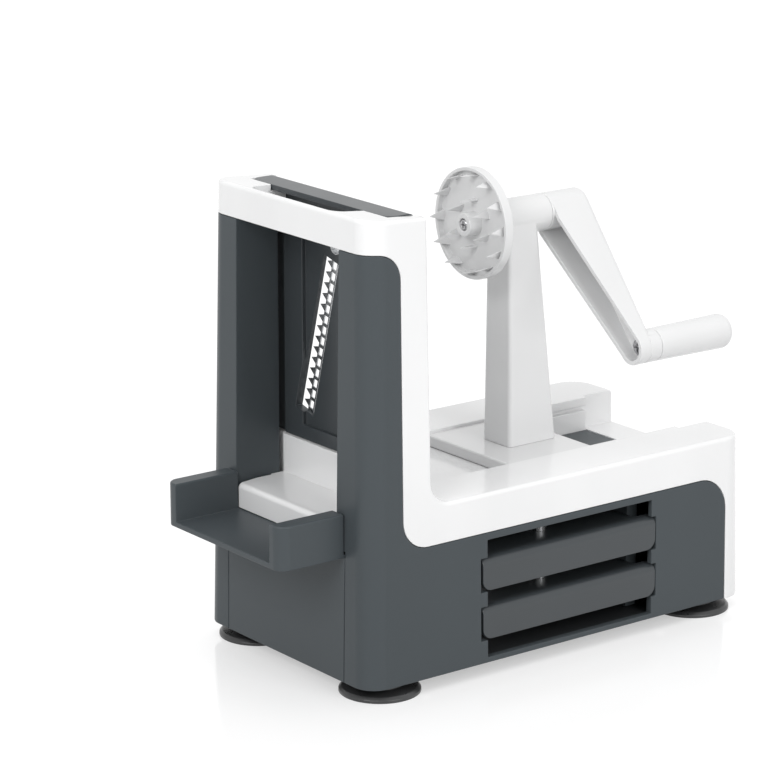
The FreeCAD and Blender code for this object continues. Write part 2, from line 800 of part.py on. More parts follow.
def make_feet():
    """Four rubber suction feet with a stem through the cover and a pull tab."""
    for end, distance, tab in (("front", s.foot_front, 1), ("rear", foot_rear, -1)):
        for side, sign in (("near", -1), ("far", 1)):
            body = new_body(f"foot_{end}_{side}", (back(distance), sign * foot_side, 0))
            rim = s.foot_radius
            dome = rim - s.dome_inset
            stem = s.foot_neck
            head = s.underside + s.cover_thickness
            turned(body, "Revolution", "V_Axis",
                   [(0, s.cup_height), (rim - s.cup_inset, s.cup_shoulder), (rim - s.rim_land, 0),
                    (rim, 0), (rim, s.rim_height), (rim - s.rim_height, s.rim_height * 2),
                    (dome, s.dome_height), (dome - s.dome_draft, s.foot_height),
                    (stem, s.foot_height), (stem, head), (stem + s.foot_lip, head),
                    (stem + s.foot_lip, head + s.foot_head), (0, head + s.foot_head * 2)])
            tip = tab * (rim + s.tab_reach)
            add(body, "Z", s.tab_low, s.tab_high,
                [(tab * (rim - 2), -s.tab_half), (tip, 1 - s.tab_half, 2), (tip, s.tab_half - 1, 2),
                 (tab * (rim - 2), s.tab_half)])


def make_screws(label, places, face, point):
    """A group of upright screws: heads below the face, shanks up to the point."""
    body = new_body(label)
    add(body, "Z", face, point, *[circle(x, y, s.screw_radius) for x, y in places])
    add(body, "Z", face - s.screw_head_height, face, *[circle(x, y, s.screw_head) for x, y in places])


# ---------------------------------------------------------------- carriage

def make_carriage():
    """Plate in the channel and the column that carries the spindle."""
    plate = new_body("carriage_plate")
    start = back(s.carriage_front)
    end = start + s.carriage_length
    half = s.channel_half - s.clearance
    tongue = s.channel_half + s.groove_depth - s.clearance
    add(plate, "Z", slide_top, s.carriage_top, rectangle(start, end, -half, half))
    round_edges(plate, s.carriage_round, lambda edge: is_level_edge(edge, s.carriage_top))
    add(plate, "Z", slide_top, s.deck_top + s.groove_height - s.clearance,
        rectangle(start + 2, end - 2, -tongue, tongue))
    remove(plate, "Z", slide_top - 1, s.carriage_top - s.wall,
           rectangle(start + s.wall, end - s.wall, s.wall - half, half - s.wall))
    rows = carriage_screw_places()
    remove(plate, "Z", s.carriage_top - s.wall - 1, s.carriage_top + 1,
           *[circle(x, y, s.screw_radius + s.clearance) for x, y in rows])

    column = new_body("carriage_column")
    foot = back(s.column_front)
    top = s.spindle_height
    low = s.carriage_top
    add(column, "Y", -s.column_foot_half, s.column_foot_half,
        [(foot, s.carriage_top), (foot + s.column_foot, s.carriage_top),
         (foot + s.column_head, top), (foot, top)])
    for sign in (-1, 1):
        remove(column, "X", foot - PAST, foot + s.column_foot + PAST,
               [(sign * s.column_foot_half, low), (sign * (s.column_foot_half + PAST), low),
                (sign * (s.column_foot_half + PAST), top + 1), (sign * s.column_head_half, top + 1)])
    round_edges(column, s.column_round,
                lambda edge: abs(edge.Vertexes[0].Point.z - edge.Vertexes[-1].Point.z) > SIZES["column_foot"])
    core_top = top - s.housing_radius - s.housing_core_gap
    remove(column, "Y", -s.column_head_half + s.wall, s.column_head_half - s.wall,
           [(foot + s.wall, low - 1), (foot + s.column_foot - s.column_core_inset, low - 1),
            (foot + s.column_head - s.wall, core_top),
            (foot + s.wall, core_top)])
    add(column, "X", spindle_x, spindle_x + s.housing_length, circle(0, top, s.housing_radius))
    remove(column, "X", spindle_x - 1, spindle_x + s.housing_length + 1, circle(0, top, s.bush_radius))
    for x, y in rows:
        add(column, "Z", low, low + s.column_boss,
            rectangle(x - s.boss_radius, x + s.boss_radius, 1 - s.column_head_half, s.column_head_half - 1))
        remove(column, "Z", low - 1, low + s.column_boss - 2, circle(x, y, s.screw_radius + s.running_fit))
    make_screws("column_screws", rows, s.carriage_top - s.wall,
                s.carriage_top + s.column_screw_bite)

    rear_bush = spindle_x + s.housing_length - s.bush_length
    for label, start in (("bush_front", spindle_x), ("bush_rear", rear_bush)):
        bush = new_body(label, (start, 0, s.spindle_height))
        add(bush, "X", 0, s.bush_length, circle(0, 0, s.bush_radius))
        remove(bush, "X", -1, s.bush_length + 1, circle(0, 0, s.shaft_radius + s.running_fit))


def carriage_screw_places():
    """Two screws that hold the column on the plate."""
    foot = back(s.column_front)
    return [(foot + s.column_screw_front, as_size(0)),
            (foot + s.column_foot - s.column_screw_rear, as_size(0))]


# ---------------------------------------------------------------- spindle and crank

def make_spindle():
    """Shaft, prong disc and crank arm, all about the spindle axis."""
    disc_back = spindle_x - s.disc_gap
    disc_face = disc_back - s.disc_wall
    shaft_front = disc_face - s.disc_socket
    seat = shaft_front - s.screw_floor
    arm_back = hub_x + s.hub_length
    shaft_end = arm_back - s.shaft_thread - 1
    place = (0, 0, s.spindle_height)
    bore = s.shaft_radius + s.running_fit
    thread = s.screw_radius - s.clearance

    shaft = new_body("drive_shaft", place)
    add(shaft, "X", shaft_front, shaft_end, circle(0, 0, s.shaft_radius))
    remove(shaft, "X", shaft_front - 1, shaft_front + s.shaft_thread, circle(0, 0, thread + s.running_fit))
    remove(shaft, "X", shaft_end - s.shaft_thread, shaft_end + 1, circle(0, 0, thread + s.running_fit))

    disc = new_body("prong_disc", place)
    add(disc, "X", disc_face, disc_back, circle(0, 0, s.disc_radius))
    add(disc, "X", disc_back - s.disc_rim, disc_face + 0.5, circle(0, 0, s.disc_radius))
    remove(disc, "X", disc_back - s.disc_rim - 1, disc_face, circle(0, 0, s.disc_radius - s.disc_wall))
    add(disc, "X", disc_back - 0.5, spindle_x - s.clearance, circle(0, 0, s.hub_radius - 1))
    add(disc, "X", shaft_front - s.disc_cap, disc_back - 0.5, circle(0, 0, s.disc_boss))
    add_prongs(disc, disc_face, s.prong_ring, SIZES["prong_count"], s.prong_half)
    add_prongs(disc, disc_face, s.inner_ring, SIZES["inner_count"], s.inner_prong_half)
    remove(disc, "X", shaft_front, spindle_x + 1, circle(0, 0, bore))
    remove(disc, "X", seat - LAP * 2, shaft_front + LAP, circle(0, 0, thread + s.running_fit))
    remove(disc, "X", shaft_front - s.disc_cap - 1, seat, circle(0, 0, s.screw_head))

    screw = new_body("disc_screw", place)
    add(screw, "X", shaft_front - s.disc_cap + LAP, seat, circle(0, 0, s.screw_head - s.clearance))
    add(screw, "X", seat - LAP, shaft_front + s.shaft_thread - 1, circle(0, 0, thread))

    make_crank_arm(shaft_end)
    screw = new_body("crank_screw", place)
    seat = arm_back - s.arm_wall - 1
    add(screw, "X", seat, arm_back - 1, circle(0, 0, s.screw_head - s.clearance))
    add(screw, "X", shaft_end - s.shaft_thread + 1, seat + LAP, circle(0, 0, thread))


def add_prongs(disc, start, ring, count, half):
    """A ring of flat pointed prongs that stand out of the disc towards the tray."""
    first = disc.Tip
    sketch = new_sketch(disc, "Z", ring - s.prong_thickness / 2, ring + s.prong_thickness / 2)
    draw_polygon(sketch, [(start + 0.5, -half), (start + 0.5, half), (start - s.prong_length, 0)])
    prong = disc.newObject("PartDesign::Pad", "prong")
    prong.Profile = sketch
    bind(prong, "Length", s.prong_thickness)
    document.recompute()
    pattern = disc.newObject("PartDesign::PolarPattern", "prongs")
    pattern.Originals = [prong]
    axis = next(item for item in disc.Origin.OriginFeatures if item.Role == "X_Axis")
    pattern.Axis = (axis, [""])
    pattern.Angle = 360
    pattern.Occurrences = count
    disc.Tip = pattern
    document.recompute()
    if disc.Shape.Volume <= first.Shape.Volume:
        raise ValueError("prongs add nothing")


def make_crank_arm(shaft_end):
    """Channel shaped arm with the hub at the top and the boss of the handle at the end."""
    arm = new_body("crank_arm", (hub_x, 0, s.spindle_height), ((-1, 0, 0), s.crank_angle))
    depth = s.hub_length
    end = -s.arm_length
    end_face = depth - s.arm_end_depth
    low = end - s.arm_end_radius - 1
    inside = depth - s.arm_wall
    add(arm, "X", s.arm_open, depth, link(s.arm_length, s.hub_radius, s.arm_end_radius))
    round_edges(arm, s.arm_round, lambda edge: lies_at(edge, depth))
    remove(arm, "Y", -s.hub_radius - 1, s.hub_radius + 1,
           [(s.arm_open - 1, -s.hub_radius), (s.arm_open, -s.hub_radius), (end_face, end),
            (end_face, low), (s.arm_open - 1, low)])
    remove(arm, "X", s.arm_open - 1, inside,
           link(s.arm_length, s.hub_radius - s.arm_wall, s.arm_end_radius - s.arm_wall))
    add(arm, "X", 0, depth - s.arm_round, circle(0, 0, s.hub_radius))
    add(arm, "X", s.arm_open, inside + 0.5, circle(0, 0, s.hub_radius - 1))
    add(arm, "X", inside, depth + s.handle_boss, circle(0, end, s.arm_end_radius))
    remove(arm, "X", inside - 1, depth + s.handle_boss + 1,
           circle(0, end, s.axle_radius + s.running_fit))
    remove(arm, "X", -1, shaft_end - hub_x, circle(0, 0, s.shaft_radius + s.running_fit))
    remove(arm, "X", shaft_end - hub_x - 1, depth, circle(0, 0, s.screw_radius))
    remove(arm, "X", inside - 1, depth + 1, circle(0, 0, s.screw_head))


def lies_at(edge, x):
    """Test for an edge that lies in one plane square to X."""
    box = edge.BoundBox
    return max(abs(box.XMin - x.value), abs(box.XMax - x.value)) < NEAR


def make_handle():
    """Grip that turns with its axle screw in the boss of the arm."""
    place = (hub_x, handle_y, handle_z)
    start = s.hub_length + s.handle_boss + s.clearance
    end = start + s.grip_length
    grip = new_body("handle_grip", place)
    turned(grip, "Revolution", "H_Axis",
           [(start, 0), (start, s.arm_end_radius), (end, s.grip_radius), (end, 0)])
    round_edges(grip, s.grip_round, lambda edge: lies_at(edge, end))
    round_edges(grip, s.grip_chamfer, lambda edge: lies_at(edge, start))
    remove(grip, "X", start - 1, end - s.axle_cover + 1, circle(0, 0, s.axle_radius + s.running_fit))

    axle = new_body("handle_axle", place)
    head = s.hub_length - s.arm_wall - s.clearance
    add(axle, "X", head - s.axle_head, head, circle(0, 0, s.axle_radius + s.axle_head_lip))
    add(axle, "X", head - LAP, end - s.axle_cover, circle(0, 0, s.axle_radius))


# ---------------------------------------------------------------- blade inserts

def insert_places():
    """Origin and turn of the insert in use and of the two stored ones."""
    stored = ((1, -1, 1), 120)
    places = {"insert": ((back(s.plate_front), 0, s.flange_top), None)}
    for name, height in slot_heights.items():
        face = s.insert_proud - half_width(height + s.flange_depth / 2)
        places[f"{name}_insert"] = ((bay_x, face, height + s.flange_overhang), stored)
    return places


def tilted(along, across):
    """Y and Z in an insert of a point this far down the blade from the core, and across it."""
    return (along * blade_sine + across * blade_cosine,
            core_height - along * blade_cosine + across * blade_sine)


def strip(along_low, along_high, across_low, across_high):
    """A profile: a rectangle that leans with the blade."""
    return [tilted(along_low, across_low), tilted(along_high, across_low),
            tilted(along_high, across_high), tilted(along_low, across_high)]


def make_insert(name, place, turn, pitch):
    """One blade insert: local X is its thickness, Y its width, and its top lies at Z = 0."""
    make_insert_frame(f"{name}_frame", place, turn)
    face = s.plate_thickness
    outside = face + s.blade_thickness
    start = s.throat_start - s.blade_end
    end = s.throat_start + s.throat_length
    slicing = new_body(f"{name}_slicing_blade", place, turn)
    add(slicing, "X", face, outside, strip(start, end + s.blade_end, -s.blade_width, 0))
    round_edges(slicing, s.blade_bevel, lambda edge: is_cutting_edge(edge, outside), "Chamfer")

    ring = new_body(f"{name}_core_ring", place, turn)
    add(ring, "X", 0.5, s.core_length, circle(0, core_height, s.core_radius))
    remove(ring, "X", 0, s.core_length + 1, circle(0, core_height, s.core_radius - s.core_wall))

    rivets = [tilted(s.throat_start + s.throat_length * share, s.rivet_inset - s.blade_width)
              for share in (s.rivet_share, 1 - s.rivet_share)]
    if pitch:
        make_comb(f"{name}_comb_blade", place, turn, pitch)
        middle = s.clearance + s.comb_width / 2
        rivets += [tilted(s.throat_start - s.comb_end / 2, middle), tilted(end + s.comb_end / 2, middle)]
    body = new_body(f"{name}_rivets", place, turn)
    add(body, "X", outside, outside + s.rivet_height, *[circle(y, z, s.rivet_radius) for y, z in rivets])


def make_insert_frame(label, place, turn):
    """Plate with thin guide rims, a pocket round the leaning throat, and the flange on top."""
    frame = new_body(label, place, turn)
    bottom = -s.insert_height
    rear = s.flange_depth - s.flange_overhang
    add(frame, "Z", bottom, 0.5 - s.flange_thickness,
        rectangle(0, s.plate_thickness, -s.plate_half, s.plate_half))
    add(frame, "Z", -s.flange_thickness, 0,
        [(-s.flange_overhang, -s.flange_half, s.flange_corner), (rear, -s.flange_half),
         (rear, s.flange_half), (-s.flange_overhang, s.flange_half, s.flange_corner)])
    add(frame, "Z", -s.flange_drop, -0.5, rectangle(0, rear, -s.flange_half, s.flange_half))
    round_edges(frame, s.flange_round,
                lambda edge: is_level_edge(edge, 0) and edge.BoundBox.XMin > rear.value - NEAR)
    for sign in (-1, 1):
        remove(frame, "X", -1, s.rim_step,
               rectangle(sign * s.rim_inner, sign * (s.plate_half + 1), bottom - 1, -s.flange_drop))
    remove(frame, "X", -1, s.pocket_depth,
           rectangle(-s.pocket_half, s.pocket_half, bottom + s.pocket_frame, -s.pocket_top))
    remove(frame, "X", -1, s.plate_thickness + 1,
           strip(s.throat_start, s.throat_start + s.throat_length, -s.throat_overlap, s.throat_width))
    remove(frame, "X", -1, s.plate_thickness + 1, circle(0, core_height, s.core_radius))


def is_cutting_edge(edge, outside):
    """Test for the long outer edge of the slicing blade beside the throat."""
    for vertex in edge.Vertexes:
        point = vertex.Point
        across = point.y * blade_cosine.value + (point.z - core_height.value) * blade_sine.value
        if abs(point.x - outside.value) > NEAR or abs(across) > NEAR:
            return False
    return True


def make_comb(label, place, turn, pitch):
    """Strip across the throat with a window and a pointed tooth for every noodle."""
    comb = new_body(label, place, turn)
    face = s.plate_thickness
    outside = face + s.blade_thickness
    spine = s.clearance + s.comb_width
    tooth = pitch * s.tooth_share
    count = int(SIZES["throat_length"] / pitch.value)
    first = s.throat_start + (s.throat_length - pitch * count + pitch - tooth) / 2
    feet = [first + pitch * i for i in range(count)]
    add(comb, "X", face, outside,
        strip(s.throat_start - s.comb_end, s.throat_start + s.throat_length + s.comb_end,
              s.clearance, spine))
    add(comb, "X", face, outside,
        *[[tilted(foot, spine - 0.2), tilted(foot + tooth, spine - 0.2),
           tilted(foot + tooth / 2, spine + s.tooth_height)] for foot in feet])
    remove(comb, "X", face - 1, outside + 1,
           *[strip(foot, foot + tooth, s.clearance + s.comb_rib, spine - s.comb_rib) for foot in feet])


# ---------------------------------------------------------------- the whole part

def make_all():
    """Make every sub-part."""
    make_base_body()
    make_top_frame()
    make_front_tray()
    make_bottom_cover()
    make_feet()
    sides = (-1, 1)
    ceiling = s.split_height - s.seam - s.wall
    make_screws("frame_screws", [(back(row), sign * boss_side) for row in screw_rows for sign in sides],
                ceiling, ceiling + s.wall + s.screw_bite - 1)
    cover = s.underside + s.clearance
    make_screws("cover_screws",
                [(back(row), sign * cover_boss_side) for row in cover_rows for sign in sides],
                cover, cover + s.cover_thickness + s.screw_bite - 1)
    make_carriage()
    make_spindle()
    make_handle()
    pitches = {"insert": s.fine_pitch, "upper_insert": s.coarse_pitch, "lower_insert": None}
    for name, (place, turn) in insert_places().items():
        make_insert(name, place, turn, pitches[name])


def check_and_write():
    """Stop on any failed object, then write one STEP file for each sub-part."""
    document.recompute()
    for item in document.Objects:
        if "Invalid" in item.State or "Error" in item.State:
            raise ValueError(f"{item.Label} failed: {item.State}")
    for label, body in parts.items():
        if body.Shape.isNull() or not body.Shape.isValid():
            raise ValueError(f"{label} has no valid shape")
    os.makedirs("parts", exist_ok=True)
    for label, body in parts.items():
        body.Shape.exportStep(os.path.join("parts", f"{label}.step"))


make_all()
check_and_write()
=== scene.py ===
"""Looks of a hand cranked spiralizer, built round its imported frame. Metres, +X towards the crank."""
import json
import math

import bmesh
import bpy
import numpy
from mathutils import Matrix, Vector

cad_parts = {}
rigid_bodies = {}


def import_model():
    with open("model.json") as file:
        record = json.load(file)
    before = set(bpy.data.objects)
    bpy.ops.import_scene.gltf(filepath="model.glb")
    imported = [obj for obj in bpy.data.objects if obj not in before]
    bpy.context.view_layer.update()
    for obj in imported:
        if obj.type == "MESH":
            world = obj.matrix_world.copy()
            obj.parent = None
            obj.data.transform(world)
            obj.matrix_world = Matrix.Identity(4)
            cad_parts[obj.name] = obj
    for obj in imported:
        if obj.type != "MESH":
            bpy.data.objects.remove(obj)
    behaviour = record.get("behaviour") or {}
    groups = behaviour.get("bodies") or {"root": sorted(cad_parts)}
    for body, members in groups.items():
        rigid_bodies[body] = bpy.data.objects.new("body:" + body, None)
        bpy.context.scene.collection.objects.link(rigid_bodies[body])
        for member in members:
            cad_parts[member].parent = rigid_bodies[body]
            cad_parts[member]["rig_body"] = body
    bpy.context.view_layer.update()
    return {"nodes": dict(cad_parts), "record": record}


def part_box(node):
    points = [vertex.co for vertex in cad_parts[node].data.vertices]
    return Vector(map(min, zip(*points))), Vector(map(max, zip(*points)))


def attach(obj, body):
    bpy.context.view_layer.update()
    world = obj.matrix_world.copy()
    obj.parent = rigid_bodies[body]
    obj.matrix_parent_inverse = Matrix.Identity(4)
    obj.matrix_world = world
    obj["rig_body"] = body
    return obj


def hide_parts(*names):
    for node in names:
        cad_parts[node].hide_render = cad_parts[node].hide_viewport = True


bl_info = {
    "name": "Spiralizer looks",
    "version": (1, 0, 0),
    "blender": (4, 5, 0),
    "location": "View3D > Sidebar > Spiralizer",
    "description": "Dresses the packed spiralizer with finished pieces and materials",
    "category": "Object",
}

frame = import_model()

MM = 0.001


# ---------------------------------------------------------------- settings

def colour_property(name, description, default):
    """A linear colour that a user can change."""
    return bpy.props.FloatVectorProperty(
        name=name, description=description, subtype="COLOR", size=3, min=0.0, max=1.0, default=default)


def length_property(name, description, default):
    """A length in metres that a user can change."""
    return bpy.props.FloatProperty(
        name=name, description=description, subtype="DISTANCE", unit="LENGTH", min=0.0, default=default)


def power_property(name, description, default):
    """The power of a lamp in watts."""
    return bpy.props.FloatProperty(
        name=name, description=description, subtype="POWER", min=0.0, default=default)


class FinishSettings(bpy.types.PropertyGroup):
    """Colours of the mouldings, the rubber and the metal."""
    anthracite: colour_property(
        "Anthracite", "Colour of the lower shell and the tray", (0.066, 0.077, 0.084))
    insert: colour_property("Insert", "Colour of the blade inserts", (0.046, 0.053, 0.058))
    white: colour_property("White", "Colour of the upper shell", (0.86, 0.862, 0.865))
    crank: colour_property(
        "Crank white", "Colour of the carriage, the disc and the crank", (0.76, 0.762, 0.765))
    rubber: colour_property("Rubber", "Colour of the suction feet", (0.034, 0.035, 0.036))
    cover: colour_property("Cover", "Colour of the bottom cover", (0.024, 0.026, 0.028))
    bearing: colour_property("Bearing", "Colour of the shaft bushes", (0.70, 0.70, 0.66))
    steel: colour_property("Blade steel", "Colour of the blades", (0.62, 0.63, 0.64))
    plating: colour_property(
        "Plating", "Colour of the screws, the rivets and the shaft", (0.50, 0.50, 0.51))


class EdgeSettings(bpy.types.PropertyGroup):
    """Small radii that soften the edges of the pieces."""
    shell: length_property("Shell edge", "Edge radius of the shells and the tray", 0.45 * MM)
    moving: length_property("Moving edge", "Edge radius of the carriage and the crank", 0.4 * MM)
    insert: length_property("Insert edge", "Edge radius of the blade inserts", 0.35 * MM)
    rubber: length_property("Rubber edge", "Edge radius of the feet", 0.3 * MM)
    turned: length_property("Turned edge", "Edge radius of the shaft, bushes and core rings", 0.15 * MM)
    sheet: length_property("Sheet edge", "Edge radius of the sheet steel blades", 0.06 * MM)


class DiscSettings(bpy.types.PropertyGroup):
    """Sizes of the disc that holds the vegetable."""
    outer_count: bpy.props.IntProperty(
        name="Outer prongs", description="Number of prongs near the rim", min=3, default=12)
    inner_count: bpy.props.IntProperty(
        name="Inner prongs", description="Number of prongs round the middle", min=3, default=6)
    outer_ring: length_property("Outer ring", "Radius of the ring of outer prongs", 27.0 * MM)
    inner_ring: length_property("Inner ring", "Radius of the ring of inner prongs", 13.0 * MM)
    prong_length: length_property("Prong length", "Reach of a prong out of the disc", 10.4 * MM)


class StageSettings(bpy.types.PropertyGroup):
    """Camera, floor and light."""
    camera_place: bpy.props.FloatVectorProperty(
        name="Camera", description="Where the camera stands", subtype="TRANSLATION", unit="LENGTH",
        size=3, default=(-1.08285, -1.3635, 0.6219))
    camera_heading: bpy.props.FloatVectorProperty(
        name="Heading", description="Direction in which the camera looks", subtype="DIRECTION",
        size=3, default=(0.584, 0.766, -0.268))
    lens: bpy.props.FloatProperty(
        name="Lens", description="Focal length on a 36 mm sensor", subtype="DISTANCE_CAMERA",
        default=151.0)
    floor: colour_property("Floor", "Colour of the floor", (0.62, 0.62, 0.62))
    glow: bpy.props.FloatProperty(
        name="Floor glow", description="Brightness that the floor shows by itself", min=0.0,
        default=0.45)
    sky: bpy.props.FloatProperty(
        name="Sky", description="Strength of the soft light all round", min=0.0, default=0.66)
    key: power_property("Key lamp", "Soft box high on the near side", 12.5)
    front: power_property("Front lamp", "Soft box high beyond the tray", 13.0)
    top: power_property("Top lamp", "Soft box overhead", 4.0)


GROUPS = {"spiralizer_finish": FinishSettings, "spiralizer_edges": EdgeSettings,
          "spiralizer_disc": DiscSettings, "spiralizer_stage": StageSettings}


def settings(group):
    """One of the scene's property groups."""
    return getattr(bpy.context.scene, f"spiralizer_{group}")


# ---------------------------------------------------------------- materials

# scales of the noise in moulded plastic, one value for each axis where they differ
FLOW_SCALE = (14.0, 14.0, 5.0)
SCRATCH_SCALE = (1800.0, 90.0, 1400.0)
HANDLED_SCALE = 38.0
SINK_SCALE = 22.0
PIT_SCALE = 2400.0
# how far they change the colour, the roughness and the surface
FLOW_TINT = 0.03
HANDLED_SPREAD = 0.02
SCRATCH_SPREAD = 0.012
SINK_STRENGTH = 0.03
SINK_DEPTH = 0.4 * MM
PIT_DEPTH = 0.02 * MM
# grinding marks of the steel: their scale across and along, and how far they change it
MARK_SCALE = 2200.0
MARK_SCALE_ALONG = 45.0
MARK_TINT = 0.09
MARK_SPREAD = 0.07
MARK_STRENGTH = 0.12
MARK_DEPTH = 0.02 * MM


class Nodes:
    """A small writer for one material's node tree."""

    def __init__(self, name):
        self.material = bpy.data.materials.new(name)
        self.material.use_nodes = True
        self.tree = self.material.node_tree
        self.shader = self.tree.nodes["Principled BSDF"]
        self.place = self.add("ShaderNodeTexCoord").outputs["Object"]

    def add(self, kind, **values):
        node = self.tree.nodes.new(kind)
        for name, value in values.items():
            setattr(node, name, value)
        return node

    def link(self, output, socket):
        self.tree.links.new(output, socket)

    def stretched(self, scale):
        """Object coordinates with another scale along each axis."""
        node = self.add("ShaderNodeMapping")
        node.inputs["Scale"].default_value = scale
        self.link(self.place, node.inputs["Vector"])
        return node.outputs["Vector"]

    def noise(self, scale, detail=3.0, place=None):
        node = self.add("ShaderNodeTexNoise")
        node.inputs["Scale"].default_value = scale
        node.inputs["Detail"].default_value = detail
        self.link(place or self.place, node.inputs["Vector"])
        return node.outputs["Fac"]

    def pits(self, scale):
        """Distance to the nearest of the cells of a spark eroded mould."""
        node = self.add("ShaderNodeTexVoronoi")
        node.inputs["Scale"].default_value = scale
        self.link(self.place, node.inputs["Vector"])
        return node.outputs["Distance"]

    def spread(self, value, low, high, start=0.3, end=0.7):
        """Map the part start..end of a value to the range low..high."""
        node = self.add("ShaderNodeMapRange")
        node.inputs["From Min"].default_value = start
        node.inputs["From Max"].default_value = end
        node.inputs["To Min"].default_value = low
        node.inputs["To Max"].default_value = high
        self.link(value, node.inputs["Value"])
        return node.outputs["Result"]

    def tint(self, value, colour, share):
        """The colour, a little darker and lighter with the value."""
        node = self.add("ShaderNodeMix", data_type="RGBA")
        self.link(self.spread(value, 0.0, 1.0), node.inputs["Factor"])
        # a colour mix keeps its own pair of sockets behind those for numbers and vectors
        dark, light = node.inputs[6], node.inputs[7]
        dark.default_value = (*[part * (1 - share) for part in colour], 1.0)
        light.default_value = (*[min(1.0, part * (1 + share)) for part in colour], 1.0)
        return node.outputs[2]

    def total(self, first, second):
        node = self.add("ShaderNodeMath", operation="ADD")
        self.link(first, node.inputs[0])
        self.link(second, node.inputs[1])
        return node.outputs[0]

    def bump(self, height, strength, distance, under=None):
        node = self.add("ShaderNodeBump")
        node.inputs["Strength"].default_value = strength
        node.inputs["Distance"].default_value = distance
        self.link(height, node.inputs["Height"])
        if under:
            self.link(under, node.inputs["Normal"])
        return node.outputs["Normal"]

    def set(self, **values):
        """Set plain numbers on the shader's own sockets."""
        for name, value in values.items():
            self.shader.inputs[name.replace("_", " ")].default_value = value


def moulded_plastic(name, colour, roughness, grain, gloss=0.5, coat=0.0):
    """Moulded plastic: mould texture, sink and flow marks, handled patches and fine scratches."""
    nodes = Nodes(name)
    flow = nodes.noise(1.0, detail=2.0, place=nodes.stretched(FLOW_SCALE))
    nodes.link(nodes.tint(flow, colour, FLOW_TINT), nodes.shader.inputs["Base Color"])
    patches = nodes.noise(HANDLED_SCALE, detail=4.0)
    handled = nodes.spread(patches, roughness - HANDLED_SPREAD, roughness + HANDLED_SPREAD)
    scratches = nodes.noise(1.0, detail=2.0, place=nodes.stretched(SCRATCH_SCALE))
    rubbed = nodes.spread(scratches, 0.0, SCRATCH_SPREAD, start=0.55, end=0.8)
    nodes.link(nodes.total(handled, rubbed), nodes.shader.inputs["Roughness"])
    sink = nodes.bump(nodes.noise(SINK_SCALE, detail=1.0), SINK_STRENGTH, SINK_DEPTH)
    texture = nodes.bump(nodes.pits(PIT_SCALE), grain, PIT_DEPTH, sink)
    nodes.link(texture, nodes.shader.inputs["Normal"])
    nodes.set(IOR=1.5, Specular_IOR_Level=gloss, Coat_Weight=coat, Coat_Roughness=0.07)
    return nodes.material


def soft_rubber(name, colour):
    """Black rubber with a dull skin, a slight bloom and fine pores."""
    nodes = Nodes(name)
    bloom = nodes.tint(nodes.noise(60.0, detail=5.0), colour, share=0.3)
    nodes.link(bloom, nodes.shader.inputs["Base Color"])
    skin = nodes.spread(nodes.noise(160.0, detail=4.0), low=0.26, high=0.42)
    nodes.link(skin, nodes.shader.inputs["Roughness"])
    pores = nodes.bump(nodes.noise(1500.0), strength=0.2, distance=0.05 * MM)
    nodes.link(pores, nodes.shader.inputs["Normal"])
    nodes.set(IOR=1.52)
    return nodes.material


def ground_steel(name, colour, roughness, along):
    """Steel with grinding marks along one axis and a slightly cloudy polish."""
    nodes = Nodes(name)
    scale = [MARK_SCALE_ALONG if axis == along else MARK_SCALE for axis in "xyz"]
    marks = nodes.noise(1.0, detail=4.0, place=nodes.stretched(scale))
    nodes.link(nodes.tint(marks, colour, MARK_TINT), nodes.shader.inputs["Base Color"])
    ground = nodes.spread(marks, roughness - MARK_SPREAD, roughness + MARK_SPREAD)
    cloud = nodes.spread(nodes.noise(120.0), low=-0.02, high=0.05)
    nodes.link(nodes.total(ground, cloud), nodes.shader.inputs["Roughness"])
    nodes.link(nodes.bump(marks, MARK_STRENGTH, MARK_DEPTH), nodes.shader.inputs["Normal"])
    nodes.set(Metallic=1.0, Anisotropic=0.35)
    return nodes.material


FINISHES = {}


def make_finishes():
    """Make the material of every material slot."""
    colours = settings("finish")
    FINISHES["anthracite_shell"] = moulded_plastic(
        "anthracite plastic", colours.anthracite, roughness=0.36, grain=0.12, gloss=0.2)
    FINISHES["anthracite_insert"] = moulded_plastic(
        "insert plastic", colours.insert, roughness=0.3, grain=0.03)
    FINISHES["black_cover"] = moulded_plastic(
        "cover plastic", colours.cover, roughness=0.5, grain=0.5, gloss=0.3)
    FINISHES["black_rubber"] = soft_rubber("foot rubber", colours.rubber)
    FINISHES["white_shell"] = moulded_plastic(
        "white plastic", colours.white, roughness=0.14, grain=0.015, coat=0.25)
    FINISHES["white_moulding"] = moulded_plastic(
        "white gloss plastic", colours.crank, roughness=0.2, grain=0.015, coat=0.15)
    FINISHES["bearing_plastic"] = moulded_plastic(
        "bearing plastic", colours.bearing, roughness=0.35, grain=0.1)
    FINISHES["blade_steel"] = ground_steel("blade steel", colours.steel, roughness=0.24, along="z")
    FINISHES["fastener_steel"] = ground_steel("screw steel", colours.plating, roughness=0.32, along="x")


# ---------------------------------------------------------------- mesh tools

# angles: edges that bend more are shaded sharp, are rounded, or no longer lie in one flat face
SMOOTH = math.radians(38.0)
SHARP = math.radians(35.0)
FLAT = math.radians(0.3)
# cosine between two triangles of one plane
LEVEL = 0.9999
# distances within which corners count as one: of a CAD mesh, of a turned mesh, and of any mesh
CAD_WELD = 0.002 * MM
TURNED_WELD = 0.0005 * MM
TOUCHING = 0.0001 * MM
# a turned ring with less radius is a single point
POINT_RADIUS = 0.001 * MM
# the share of the gap between two edges that a rounding may take, and where on an edge it is measured
SHARED_ROOM = 0.45
FREE_ROOM = 0.9
PROBES = (0.02, 0.25, 0.5, 0.75, 0.98)
# cosine up to which a neighbour lies beside an edge and not ahead of it
BESIDE = 0.35


def link_piece(mesh, name):
    """A new object in the scene for the mesh."""
    piece = bpy.data.objects.new(name, mesh)
    bpy.context.scene.collection.objects.link(piece)
    return piece


